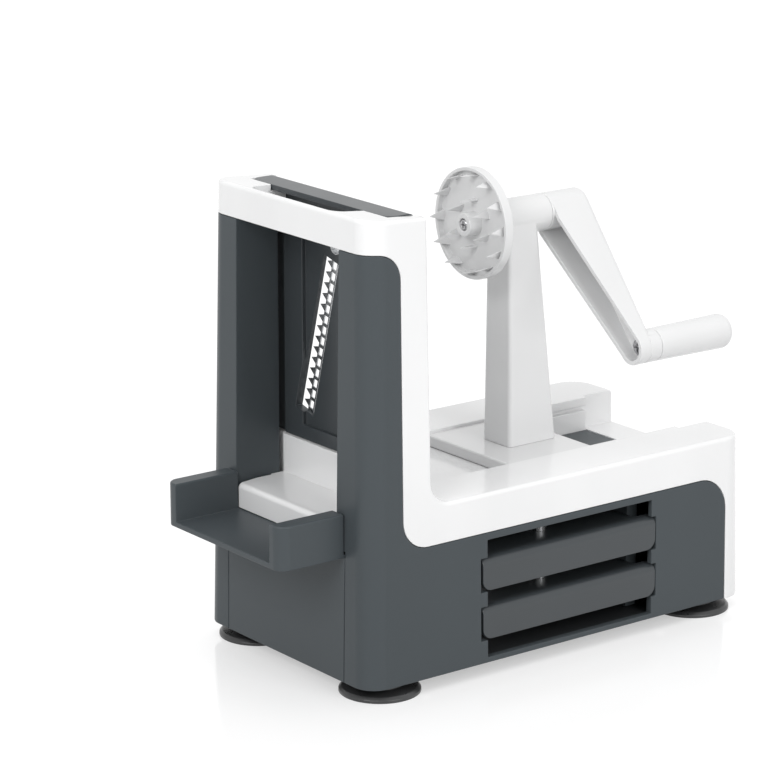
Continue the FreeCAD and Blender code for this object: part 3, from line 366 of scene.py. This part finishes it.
def baked(piece):
    """Turn the piece with its modifiers into a plain mesh."""
    bpy.context.view_layer.update()
    graph = bpy.context.evaluated_depsgraph_get()
    mesh = bpy.data.meshes.new_from_object(piece.evaluated_get(graph))
    piece.modifiers.clear()
    piece.data = mesh
    return piece


def smooth(piece):
    """Smooth shading that keeps sharp edges, with the flat faces kept flat by weighted normals."""
    for polygon in piece.data.polygons:
        polygon.use_smooth = True
    piece.data.set_sharp_from_angle(angle=SMOOTH)
    weighted = piece.modifiers.new("normals", "WEIGHTED_NORMAL")
    weighted.keep_sharp = True
    weighted.weight = 80
    return baked(piece)


def dress(piece, body, slot, *nodes):
    """Give a finished piece its body, slot, material and the CAD nodes that it stands for."""
    piece.data.materials.clear()
    piece.data.materials.append(FINISHES[slot])
    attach(piece, body)
    if nodes:
        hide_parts(*nodes)
    return piece


def slot_of(node):
    """The record's material slot of a CAD node."""
    return next(part["material_slot"] for part in frame["record"]["subparts"] if part["node"] == node)


def body_of(node):
    """The CAD body of a node."""
    return frame["nodes"][node]["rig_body"]


def stored(maker, name):
    """The bmesh as a new mesh."""
    mesh = bpy.data.meshes.new(name)
    maker.to_mesh(mesh)
    maker.free()
    return mesh


def add_sleeve(maker, rings):
    """Add faces between rings of corners that lie one behind the other, and a face at each end."""
    count = len(rings[0])
    for low, high in zip(rings, rings[1:]):
        for start in range(count):
            end = (start + 1) % count
            maker.faces.new([low[start], low[end], high[end], high[start]])
    maker.faces.new(rings[0][::-1])
    maker.faces.new(rings[-1])


def joined_mesh(node):
    """A bmesh of a CAD node with its loose triangles joined."""
    maker = bmesh.new()
    maker.from_mesh(frame["nodes"][node].data)
    bmesh.ops.remove_doubles(maker, verts=maker.verts, dist=CAD_WELD)
    return maker


def bent_edges(maker, angle):
    """The edges of a closed mesh at which it bends by more than the angle."""
    return [edge for edge in maker.edges if edge.is_manifold and edge.calc_face_angle() > angle]


def fit_weights(maker, weight, width):
    """Lower the bevel weight of the sharp edges that have the next edge near them, across a face."""
    bent = bent_edges(maker, FLAT)
    starts, ends = [numpy.array([edge.verts[side].co for edge in bent]) for side in (0, 1)]
    is_sharp = numpy.array([edge.calc_face_angle() > SHARP for edge in bent])
    # a sharp neighbour is rounded too, so the room between the two edges is shared
    usable = numpy.where(is_sharp, SHARED_ROOM, FREE_ROOM)
    along = ends - starts
    length = numpy.maximum(numpy.linalg.norm(along, axis=1), TOUCHING)
    low, high = numpy.minimum(starts, ends), numpy.maximum(starts, ends)
    reach = width / SHARED_ROOM
    for number in numpy.flatnonzero(is_sharp):
        near = ((low - reach <= high[number]) & (high + reach >= low[number])).all(axis=1)
        near[number] = False
        room = width
        for share in PROBES:
            point = starts[number] + along[number] * share
            reached = ((point - starts[near]) * along[near]).sum(axis=1) / length[near] ** 2
            foot = numpy.clip(reached, 0.0, 1.0)
            across = starts[near] + along[near] * foot[:, None] - point
            gap = numpy.linalg.norm(across, axis=1)
            beside = (gap > TOUCHING) & (abs(across @ along[number]) < BESIDE * gap * length[number])
            room = min([room, *(gap * usable[near])[beside]])
        bent[number][weight] = room / width


def tidied(mesh):
    """Make triangles of the mesh, turn the badly cut flat ones and take out those without area."""
    maker = bmesh.new()
    maker.from_mesh(mesh)
    bmesh.ops.triangulate(maker, faces=maker.faces)
    flat = [edge for edge in maker.edges if edge.is_manifold
            and abs(edge.link_faces[0].normal.dot(edge.link_faces[1].normal)) > LEVEL]
    bmesh.ops.beautify_fill(maker, faces=maker.faces, edges=flat, method="ANGLE")
    bmesh.ops.dissolve_degenerate(maker, edges=maker.edges, dist=TOUCHING)
    maker.to_mesh(mesh)
    maker.free()


def softened(node, width, fitted=True):
    """Replace a CAD node by a rounded copy, if fitted then rounded less where room is short."""
    maker = joined_mesh(node)
    if fitted:
        bmesh.ops.dissolve_limit(maker, angle_limit=FLAT, verts=maker.verts, edges=maker.edges)
        bmesh.ops.connect_verts_concave(maker, faces=maker.faces)
    weight = maker.edges.layers.float.new("bevel_weight_edge")
    for edge in bent_edges(maker, SHARP):
        edge[weight] = 1.0
    if fitted:
        fit_weights(maker, weight, width)
    piece = link_piece(stored(maker, f"{node}_skin"), f"{node}_skin")
    bevel = piece.modifiers.new("edges", "BEVEL")
    bevel.width = width
    bevel.segments = 2
    bevel.limit_method = "WEIGHT"
    bevel.use_clamp_overlap = False
    bevel.loop_slide = False
    tidied(baked(piece).data)
    return dress(smooth(piece), body_of(node), slot_of(node), node)


def solid_boxes(node):
    """Lowest and highest corner of every separate solid of a CAD node."""
    maker = joined_mesh(node)
    boxes = []
    seen = set()
    for start in maker.verts:
        if start in seen:
            continue
        island = [start]
        seen.add(start)
        for vertex in island:
            for edge in vertex.link_edges:
                other = edge.other_vert(vertex)
                if other not in seen:
                    seen.add(other)
                    island.append(other)
        boxes.append((Vector([min(v.co[axis] for v in island) for axis in range(3)]),
                      Vector([max(v.co[axis] for v in island) for axis in range(3)])))
    maker.free()
    return boxes


def rounded(outline, radius, steps=3):
    """An outline whose corners are cut by short curves, its two ends left as they are."""
    largest_share = 0.45
    points = [Vector(point) for point in outline]
    curve = [points[0]]
    for before, corner, after in zip(points, points[1:], points[2:]):
        shorter = min((before - corner).length, (after - corner).length)
        reach = min(radius, shorter * largest_share)
        start = corner + (before - corner).normalized() * reach
        end = corner + (after - corner).normalized() * reach
        for step in range(steps + 1):
            share = step / steps
            curve.append(start.lerp(corner, share).lerp(corner.lerp(end, share), share))
    return curve + [points[-1]]


def turned(name, outline, steps=64):
    """A mesh that is turned about Z from an outline of (radius, height), closed at both ends."""
    maker = bmesh.new()
    rings = []
    for radius, height in outline:
        if radius < POINT_RADIUS:
            rings.append([maker.verts.new((0, 0, height))] * steps)
            continue
        angles = [2 * math.pi * step / steps for step in range(steps)]
        rings.append([maker.verts.new((radius * math.cos(angle), radius * math.sin(angle), height))
                      for angle in angles])
    for low, high in zip(rings, rings[1:]):
        for step in range(steps):
            after = (step + 1) % steps
            corners = dict.fromkeys([low[step], low[after], high[after], high[step]])
            if len(corners) > 2:
                maker.faces.new(corners)
    bmesh.ops.remove_doubles(maker, verts=maker.verts, dist=TURNED_WELD)
    bmesh.ops.recalc_face_normals(maker, faces=maker.faces)
    return stored(maker, name)


# ---------------------------------------------------------------- Geometry Nodes

class Pattern:
    """A Geometry Nodes tree that sets copies of a shape on points, with named inputs."""

    def __init__(self, name, **inputs):
        self.tree = bpy.data.node_groups.new(name, "GeometryNodeTree")
        self.tree.is_modifier = True
        face = self.tree.interface
        face.new_socket(name="Geometry", in_out="INPUT", socket_type="NodeSocketGeometry")
        common = {"Shape": "Object", "Turn": "Vector", "Place": "Vector", "Finish": "Material"}
        for title, kind in {**inputs, **common}.items():
            face.new_socket(name=title, in_out="INPUT", socket_type=f"NodeSocket{kind}")
        face.new_socket(name="Geometry", in_out="OUTPUT", socket_type="NodeSocketGeometry")
        self.given = self.add("NodeGroupInput").outputs

    def add(self, kind, links=(), **values):
        """A node with its settings, whose inputs are linked by name."""
        node = self.tree.nodes.new(kind)
        for name, value in values.items():
            setattr(node, name, value)
        for socket, output in dict(links).items():
            self.tree.links.new(output, node.inputs[socket])
        return node

    def finish(self, points, spin=None):
        """Copies on the points, turned as a whole, moved to their place and made one plain mesh."""
        shape = self.add("GeometryNodeObjectInfo", {"Object": self.given["Shape"]})
        copies = self.add("GeometryNodeInstanceOnPoints",
                          {"Points": points, "Instance": shape.outputs["Geometry"]})
        if spin:
            self.tree.links.new(spin, copies.inputs["Rotation"])
        turn = self.add("FunctionNodeEulerToRotation", {"Euler": self.given["Turn"]})
        moved = self.add("GeometryNodeTransform",
                         {"Geometry": copies.outputs["Instances"], "Rotation": turn.outputs["Rotation"],
                          "Translation": self.given["Place"]})
        real = self.add("GeometryNodeRealizeInstances", {"Geometry": moved.outputs["Geometry"]})
        painted = self.add("GeometryNodeSetMaterial",
                           {"Geometry": real.outputs["Geometry"], "Material": self.given["Finish"]})
        self.add("NodeGroupOutput", {"Geometry": painted.outputs["Geometry"]})
        return self.tree


def ring_pattern():
    """Copies evenly round a circle, each turned to face outwards."""
    pattern = Pattern("ring of copies", Count="Int", Radius="Float")
    circle = pattern.add("GeometryNodeMeshCircle",
                         {"Vertices": pattern.given["Count"], "Radius": pattern.given["Radius"]})
    index = pattern.add("GeometryNodeInputIndex")
    share = pattern.add("ShaderNodeMath", {0: index.outputs[0], 1: pattern.given["Count"]},
                        operation="DIVIDE")
    angle = pattern.add("ShaderNodeMath", {0: share.outputs[0]}, operation="MULTIPLY")
    angle.inputs[1].default_value = 2 * math.pi
    euler = pattern.add("ShaderNodeCombineXYZ", {"Z": angle.outputs[0]})
    spin = pattern.add("FunctionNodeEulerToRotation", {"Euler": euler.outputs[0]})
    return pattern.finish(circle.outputs["Mesh"], spin.outputs["Rotation"])


def row_pattern():
    """Copies at even steps along a line."""
    pattern = Pattern("row of copies", Count="Int", Step="Vector")
    line = pattern.add("GeometryNodeMeshLine",
                       {"Count": pattern.given["Count"], "Offset": pattern.given["Step"]}, mode="OFFSET")
    return pattern.finish(line.outputs["Mesh"])


def spot_pattern():
    """One copy on every point of the mesh that carries the pattern."""
    pattern = Pattern("copies on points")
    return pattern.finish(pattern.given["Geometry"])


def patterned(name, tree, shape, slot, points=(), turn=(0, 0, 0), place=(0, 0, 0), **inputs):
    """Run a pattern with a shape mesh, and hand back its result as one plain mesh piece."""
    mesh = bpy.data.meshes.new(name)
    mesh.from_pydata([tuple(point) for point in points], [], [])
    piece = link_piece(mesh, name)
    stamp = link_piece(shape, f"{name}_stamp")
    modifier = piece.modifiers.new("pattern", "NODES")
    modifier.node_group = tree
    values = {"Shape": stamp, "Turn": turn, "Place": place, "Finish": FINISHES[slot], **inputs}
    for socket in tree.interface.items_tree:
        if socket.in_out == "INPUT" and socket.name in values:
            modifier[socket.identifier] = values[socket.name]
    baked(piece)
    bpy.data.objects.remove(stamp)
    return smooth(piece)


# ---------------------------------------------------------------- small shapes

THREAD_PITCH = 1.3 * MM
# shares of the head's radius: its flat top, and the reach and half width of the cross recess
HEAD_FLAT = 0.72
RECESS_REACH = 0.62
RECESS_HALF_WIDTH = 0.14
# shares of the head's height: its edge, and the depth of the recess
HEAD_EDGE = 0.5
RECESS_DEPTH = 0.6
# share of the recess's size at its floor
RECESS_FLOOR = 0.7
# shares of the shank's radius: the root of the thread, and the tip
THREAD_ROOT = 0.78
SHANK_TIP = 0.35


def screw_shape(head, head_height, shank, length, threaded=True):
    """A pan head screw along +Z: its head with a cross recess from zero, then its shank."""
    outline = [(0, 0), (head * HEAD_FLAT, 0), (head, head_height * HEAD_EDGE), (head, head_height),
               (shank, head_height)]
    outline = rounded(outline, 0.5 * MM)
    height = head_height + THREAD_PITCH
    while threaded and height + THREAD_PITCH < length - shank:
        outline += [(shank * THREAD_ROOT, height), (shank, height + THREAD_PITCH / 2)]
        height += THREAD_PITCH
    outline += [(shank, length - shank), (shank * SHANK_TIP, length), (0, length)]
    mesh = turned("screw", [tuple(point) for point in outline], steps=32)
    reach = head * RECESS_REACH
    slot = head * RECESS_HALF_WIDTH
    depth = head_height * RECESS_DEPTH
    return carved(mesh, [(reach, slot, depth), (slot, reach, depth)])


def carved(mesh, boxes):
    """Cut tapered slots with half sizes (x, y) and a depth into the flat face at zero height."""
    above = -0.2 * MM
    maker = bmesh.new()
    for half_x, half_y, depth in boxes:
        mouth = [(-half_x, -half_y), (half_x, -half_y), (half_x, half_y), (-half_x, half_y)]
        low = [maker.verts.new((x, y, above)) for x, y in mouth]
        high = [maker.verts.new((x * RECESS_FLOOR, y * RECESS_FLOOR, depth)) for x, y in mouth]
        add_sleeve(maker, [low, high])
    piece = link_piece(mesh, "carved")
    cutter = link_piece(stored(maker, "slots"), "cutter")
    boolean = piece.modifiers.new("slots", "BOOLEAN")
    boolean.operation = "DIFFERENCE"
    boolean.solver = "EXACT"
    boolean.use_self = True
    boolean.object = cutter
    baked(piece)
    result = piece.data
    bpy.data.objects.remove(piece)
    bpy.data.objects.remove(cutter)
    return result


def rivet_shape(radius, height):
    """A domed rivet head that stands on zero height, with an upright rim."""
    steps = 6
    rim = 0.25
    foot = 0.96
    angles = [math.pi / 2 * step / steps for step in range(steps)]
    dome = [(radius * math.cos(angle), height * (rim + (1 - rim) * math.sin(angle))) for angle in angles]
    return turned("rivet", [(0, 0), (radius * foot, 0), *dome, (0, height)], steps=24)


def prong_shape(half, thickness, length):
    """A flat pointed prong along +Z with a ridge on both sides, its width along Y."""
    tip = 0.12 * MM
    thinning = 0.75
    edge_share = 0.35
    maker = bmesh.new()
    rings = []
    for share in (0.0, 0.3, 0.6, 0.85, 1.0):
        width = half * (1 - share) + tip
        ridge = thickness / 2 * (1 - thinning * share)
        edge = ridge * edge_share
        ring = [(edge, width), (ridge, 0), (edge, -width), (-edge, -width), (-ridge, 0), (-edge, width)]
        rings.append([maker.verts.new((x, y, length * share)) for x, y in ring])
    add_sleeve(maker, rings)
    bmesh.ops.recalc_face_normals(maker, faces=maker.faces)
    return stored(maker, "prong")


def ridge_shape(length, width, height):
    """A low rounded ridge along Y that stands on zero height."""
    # half of its arch, from the foot to the crown, as shares of the width and the height
    side = ((0.5, 0.0), (0.5, 0.5), (0.25, 0.93))
    arch = [(-x * width, z * height) for x, z in side] + [(x * width, z * height) for x, z in side[::-1]]
    maker = bmesh.new()
    add_sleeve(maker, [[maker.verts.new((x, y, z)) for x, z in arch] for y in (-length / 2, length / 2)])
    bmesh.ops.recalc_face_normals(maker, faces=maker.faces)
    return stored(maker, "ridge")


# ---------------------------------------------------------------- pieces

QUARTER = math.pi / 2
INSERTS = ("insert", "upper_insert", "lower_insert")
FEET = ("foot_front_near", "foot_front_far", "foot_rear_near", "foot_rear_far")

# turns from +Z to the direction of a small shape
UPWARDS = (0, 0, 0)
TO_CRANK = (0, QUARTER, 0)
TO_TRAY = (0, -QUARTER, 0)

# height of the head and radius of the shank in mm, turn, and whether it has a thread
SCREWS = {"frame_screws": (2.0, 1.75, UPWARDS, True), "cover_screws": (2.0, 1.75, UPWARDS, True),
          "column_screws": (2.0, 1.75, UPWARDS, True), "disc_screw": (2.4, 1.45, TO_CRANK, True),
          "crank_screw": (2.5, 1.45, TO_TRAY, True), "handle_axle": (2.5, 3.0, TO_CRANK, False)}


# the ridges on a foot's pull tab: their number, size and step, and where the first one stands
RIDGE_COUNT = 3
RIDGE_LENGTH, RIDGE_WIDTH, RIDGE_HEIGHT = 6.0 * MM, 0.7 * MM, 0.35 * MM
RIDGE_STEP = 1.15 * MM
RIDGE_PAST_RIM = 0.6 * MM
TAB_TOP = 2.15 * MM

# the prong disc: its rim's radius as drawn in mm, its hub and wall, and its prongs
DISC_RIM = 31.1
HUB_HEIGHT = 1.7 * MM
DISC_WALL = 2.0 * MM
DISC_ROUND = 0.45 * MM
PRONG_THICKNESS = 1.4 * MM
PRONG_ROOT = 0.5 * MM
OUTER_PRONG_HALF, INNER_PRONG_HALF = 3.3 * MM, 2.7 * MM


class SPIRALIZER_OT_finishes(bpy.types.Operator):
    """Make every material and give the CAD nodes theirs"""
    bl_idname = "spiralizer.finishes"
    bl_label = "Finishes"

    def execute(self, context):
        make_finishes()
        for name, node in frame["nodes"].items():
            node.data.materials.clear()
            node.data.materials.append(FINISHES[slot_of(name)])
        return {"FINISHED"}


class SPIRALIZER_OT_shells(bpy.types.Operator):
    """Make the two shells, the tray and the bottom cover"""
    bl_idname = "spiralizer.shells"
    bl_label = "Shells"

    def execute(self, context):
        for node in ("base_body", "top_frame", "front_tray", "bottom_cover"):
            softened(node, settings("edges").shell)
        return {"FINISHED"}


class SPIRALIZER_OT_feet(bpy.types.Operator):
    """Make the suction feet and the ridges on their pull tabs"""
    bl_idname = "spiralizer.feet"
    bl_label = "Feet"

    def execute(self, context):
        tree = row_pattern()
        for node in FEET:
            softened(node, settings("edges").rubber, fitted=False)
            low, high = [Vector(corner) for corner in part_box(node)]
            # the tab stands out past the round rim on one side only
            radius = (high.y - low.y) / 2
            inwards = 1 if "front" in node else -1
            centre = low.x + radius if inwards > 0 else high.x - radius
            first = centre + inwards * (radius + RIDGE_PAST_RIM)
            ridge = ridge_shape(RIDGE_LENGTH, RIDGE_WIDTH, RIDGE_HEIGHT)
            ridges = patterned(f"{node}_ridges", tree, ridge, "black_rubber",
                               place=(first, (low.y + high.y) / 2, TAB_TOP),
                               Count=RIDGE_COUNT, Step=(inwards * RIDGE_STEP, 0, 0))
            dress(ridges, body_of(node), "black_rubber")
        return {"FINISHED"}


class SPIRALIZER_OT_carriage(bpy.types.Operator):
    """Make the sliding plate, its column, the bushes and the shaft"""
    bl_idname = "spiralizer.carriage"
    bl_label = "Carriage"

    def execute(self, context):
        edges = settings("edges")
        for node in ("carriage_plate", "carriage_column"):
            softened(node, edges.moving)
        for node in ("bush_front", "bush_rear", "drive_shaft"):
            softened(node, edges.turned)
        return {"FINISHED"}


class SPIRALIZER_OT_crank(bpy.types.Operator):
    """Make the crank arm and its grip"""
    bl_idname = "spiralizer.crank"
    bl_label = "Crank"

    def execute(self, context):
        for node in ("crank_arm", "handle_grip"):
            softened(node, settings("edges").moving)
        return {"FINISHED"}


class SPIRALIZER_OT_disc(bpy.types.Operator):
    """Make the turned disc and its two rings of prongs"""
    bl_idname = "spiralizer.disc"
    bl_label = "Prong disc"

    def execute(self, context):
        sizes = settings("disc")
        low, high = [Vector(corner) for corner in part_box("prong_disc")]
        scale = (high.z - low.z) / 2 / DISC_RIM
        centre = (low.z + high.z) / 2
        back = high.x - HUB_HEIGHT
        face = back - DISC_WALL
        seat, boss, rim, bore = face - 6.0 * MM, face - 8.5 * MM, face - 3.5 * MM, face - 4.0 * MM
        # radii in mm and places along X: screw seat, boss, dish, rim, hub and bore
        outline = [(1.5, seat), (3.5, seat), (3.5, boss), (6.5, boss), (6.5, face), (29.1, face),
                   (29.1, rim), (DISC_RIM, rim), (DISC_RIM, back), (9.45, back), (9.45, high.x),
                   (4.05, high.x), (4.05, bore), (1.5, bore)]
        curve = rounded([(radius * scale, x) for radius, x in outline], DISC_ROUND)
        dish = turned("prong_disc_dish", [tuple(point) for point in (*curve, curve[0])], steps=96)
        piece = patterned("prong_disc_dish", spot_pattern(), dish, "white_moulding", points=[(0, 0, 0)],
                          turn=TO_CRANK, place=(0, 0, centre))
        dress(piece, "spindle", "white_moulding", "prong_disc")
        tree = ring_pattern()
        rings = (("outer", sizes.outer_count, sizes.outer_ring, OUTER_PRONG_HALF),
                 ("inner", sizes.inner_count, sizes.inner_ring, INNER_PRONG_HALF))
        for label, count, ring, half in rings:
            prong = prong_shape(half, PRONG_THICKNESS, sizes.prong_length + PRONG_ROOT)
            piece = patterned(f"prong_disc_{label}_prongs", tree, prong, "white_moulding", turn=TO_TRAY,
                              place=(face + PRONG_ROOT, 0, centre), Count=count, Radius=ring)
            dress(piece, "spindle", "white_moulding")
        return {"FINISHED"}


class SPIRALIZER_OT_inserts(bpy.types.Operator):
    """Make the blade insert in use and the two stored ones"""
    bl_idname = "spiralizer.inserts"
    bl_label = "Blade inserts"

    def execute(self, context):
        edges = settings("edges")
        for insert in INSERTS:
            softened(f"{insert}_frame", edges.insert)
            softened(f"{insert}_core_ring", edges.turned)
            softened(f"{insert}_slicing_blade", edges.sheet)
            if f"{insert}_comb_blade" in frame["nodes"]:
                softened(f"{insert}_comb_blade", edges.sheet)
        return {"FINISHED"}


class SPIRALIZER_OT_rivets(bpy.types.Operator):
    """Make the rivets that hold the blades"""
    bl_idname = "spiralizer.rivets"
    bl_label = "Rivets"

    def execute(self, context):
        tree = spot_pattern()
        for insert in INSERTS:
            node = f"{insert}_rivets"
            boxes = solid_boxes(node)
            size = boxes[0][1] - boxes[0][0]
            upright = insert != "insert"
            axis = 2 if upright else 0
            to_foot = Vector([size[axis] / 2 if number == axis else 0 for number in range(3)])
            points = [(low + high) / 2 - to_foot for low, high in boxes]
            rivet = rivet_shape(size.y / 2, size[axis])
            if not upright:
                # the pattern turns its points with their copies, so they are laid out in its own frame
                points = [(-point.z, point.y, point.x) for point in points]
            piece = patterned(f"{node}_heads", tree, rivet, "fastener_steel", points=points,
                              turn=UPWARDS if upright else TO_CRANK)
            dress(piece, body_of(node), "fastener_steel", node)
        return {"FINISHED"}


class SPIRALIZER_OT_screws(bpy.types.Operator):
    """Make every screw and the axle of the grip"""
    bl_idname = "spiralizer.screws"
    bl_label = "Screws"

    def execute(self, context):
        tree = spot_pattern()
        for node, (head_height, shank, turn, threaded) in SCREWS.items():
            boxes = solid_boxes(node)
            low, high = boxes[0]
            along = 2 if turn is UPWARDS else 0
            head = (high.y - low.y) / 2
            screw = screw_shape(head, head_height * MM, shank * MM, (high - low)[along], threaded)
            points = []
            for low, high in boxes:
                middle = (low + high) / 2
                if turn is UPWARDS:
                    points.append((middle.x, middle.y, low.z))
                elif turn is TO_CRANK:
                    points.append((-middle.z, middle.y, low.x))
                else:
                    points.append((middle.z, middle.y, -high.x))
            piece = patterned(f"{node}_turned", tree, screw, "fastener_steel", points=points, turn=turn)
            dress(piece, body_of(node), "fastener_steel", node)
        return {"FINISHED"}


# ---------------------------------------------------------------- stage

# place and width of every soft box
LAMPS = {"key": ((0.15, -1.8, 1.0), 0.9), "front": ((-1.5, -0.6, 1.15), 0.9),
         "top": ((0.1, 0.2, 1.9), 1.2)}
LAMP_TARGET = (0.0, 0.0, 0.12)


def aim(item, place, heading):
    """Set an object at a place so that it looks along the heading."""
    item.location = place
    item.rotation_mode = "QUATERNION"
    item.rotation_quaternion = Vector(heading).to_track_quat("-Z", "Y")


def make_camera(stage):
    """Add the scene's camera."""
    data = bpy.data.cameras.new("camera")
    camera = bpy.data.objects.new("camera", data)
    bpy.context.scene.collection.objects.link(camera)
    aim(camera, stage.camera_place, stage.camera_heading)
    data.sensor_fit = "HORIZONTAL"
    data.sensor_width = 36.0
    data.lens = stage.lens
    data.clip_start = 0.1
    data.clip_end = 50.0
    bpy.context.scene.camera = camera


def make_light(name, place, size, power):
    """Add a square soft box that looks at the middle of the object."""
    data = bpy.data.lights.new(name, "AREA")
    data.shape = "SQUARE"
    data.size = size
    data.energy = power
    lamp = bpy.data.objects.new(name, data)
    bpy.context.scene.collection.objects.link(lamp)
    aim(lamp, place, Vector(LAMP_TARGET) - Vector(place))


def seen_directly(tree):
    """1 for rays that see a surface straight, in a gloss or through glass, else 0."""
    path = tree.nodes.new("ShaderNodeLightPath")
    total = None
    for ray in ("Is Camera Ray", "Is Glossy Ray", "Is Transmission Ray"):
        if total is None:
            total = path.outputs[ray]
            continue
        add = tree.nodes.new("ShaderNodeMath")
        add.operation = "ADD"
        add.use_clamp = True
        tree.links.new(total, add.inputs[0])
        tree.links.new(path.outputs[ray], add.inputs[1])
        total = add.outputs[0]
    return total


def make_world(stage):
    """White to the camera and in reflections, softer as a light."""
    world = bpy.data.worlds.new("world")
    bpy.context.scene.world = world
    world.use_nodes = True
    tree = world.node_tree
    light = tree.nodes["Background"]
    light.inputs["Color"].default_value = (1, 1, 1, 1)
    light.inputs["Strength"].default_value = stage.sky
    white = tree.nodes.new("ShaderNodeBackground")
    white.inputs["Color"].default_value = (1, 1, 1, 1)
    white.inputs["Strength"].default_value = 1.0
    mix = tree.nodes.new("ShaderNodeMixShader")
    tree.links.new(seen_directly(tree), mix.inputs["Fac"])
    tree.links.new(light.outputs[0], mix.inputs[1])
    tree.links.new(white.outputs[0], mix.inputs[2])
    tree.links.new(mix.outputs[0], tree.nodes["World Output"].inputs["Surface"])


def make_floor(stage):
    """A wide pale floor that keeps the shadow of the object."""
    half = 6.0
    mesh = bpy.data.meshes.new("floor")
    mesh.from_pydata([(-half, -half, 0), (half, -half, 0), (half, half, 0), (-half, half, 0)], [],
                     [(0, 1, 2, 3)])
    floor = link_piece(mesh, "floor")
    material = bpy.data.materials.new("floor")
    material.use_nodes = True
    tree = material.node_tree
    shader = tree.nodes["Principled BSDF"]
    shader.inputs["Base Color"].default_value = (*stage.floor, 1)
    shader.inputs["Roughness"].default_value = 0.12
    glow = tree.nodes.new("ShaderNodeEmission")
    glow.inputs["Color"].default_value = (1, 1, 1, 1)
    strength = tree.nodes.new("ShaderNodeMath")
    strength.operation = "MULTIPLY"
    strength.inputs[1].default_value = stage.glow
    tree.links.new(seen_directly(tree), strength.inputs[0])
    tree.links.new(strength.outputs[0], glow.inputs["Strength"])
    both = tree.nodes.new("ShaderNodeAddShader")
    tree.links.new(shader.outputs[0], both.inputs[0])
    tree.links.new(glow.outputs[0], both.inputs[1])
    tree.links.new(both.outputs[0], tree.nodes["Material Output"].inputs["Surface"])
    mesh.materials.append(material)


class SPIRALIZER_OT_stage(bpy.types.Operator):
    """Make the camera, the lights and the floor"""
    bl_idname = "spiralizer.stage"
    bl_label = "Stage"

    def execute(self, context):
        stage = settings("stage")
        make_camera(stage)
        make_world(stage)
        make_floor(stage)
        for name, (place, width) in LAMPS.items():
            make_light(name, place, width, getattr(stage, name))
        context.scene.view_settings.view_transform = "Standard"
        return {"FINISHED"}


class SPIRALIZER_PT_panel(bpy.types.Panel):
    """Lists the steps in the order in which they run"""
    bl_idname = "SPIRALIZER_PT_panel"
    bl_label = "Spiralizer"
    bl_space_type = "VIEW_3D"
    bl_region_type = "UI"
    bl_category = "Spiralizer"

    def draw(self, context):
        for operator in STEPS:
            self.layout.operator(operator.bl_idname)
        for group in GROUPS:
            owner = getattr(context.scene, group)
            for name in owner.__annotations__:
                self.layout.prop(owner, name)


STEPS = (SPIRALIZER_OT_finishes, SPIRALIZER_OT_shells, SPIRALIZER_OT_feet, SPIRALIZER_OT_carriage,
         SPIRALIZER_OT_crank, SPIRALIZER_OT_disc, SPIRALIZER_OT_inserts, SPIRALIZER_OT_rivets,
         SPIRALIZER_OT_screws, SPIRALIZER_OT_stage)


def register():
    for item in (*GROUPS.values(), *STEPS, SPIRALIZER_PT_panel):
        bpy.utils.register_class(item)
    for name, group in GROUPS.items():
        setattr(bpy.types.Scene, name, bpy.props.PointerProperty(type=group))


def unregister():
    for name in GROUPS:
        delattr(bpy.types.Scene, name)
    for item in reversed((*GROUPS.values(), *STEPS, SPIRALIZER_PT_panel)):
        bpy.utils.unregister_class(item)


def main():
    """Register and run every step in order."""
    register()
    bpy.ops.spiralizer.finishes()
    bpy.ops.spiralizer.shells()
    bpy.ops.spiralizer.feet()
    bpy.ops.spiralizer.carriage()
    bpy.ops.spiralizer.crank()
    bpy.ops.spiralizer.disc()
    bpy.ops.spiralizer.inserts()
    bpy.ops.spiralizer.rivets()
    bpy.ops.spiralizer.screws()
    bpy.ops.spiralizer.stage()


if __name__ == "__main__":
    main()
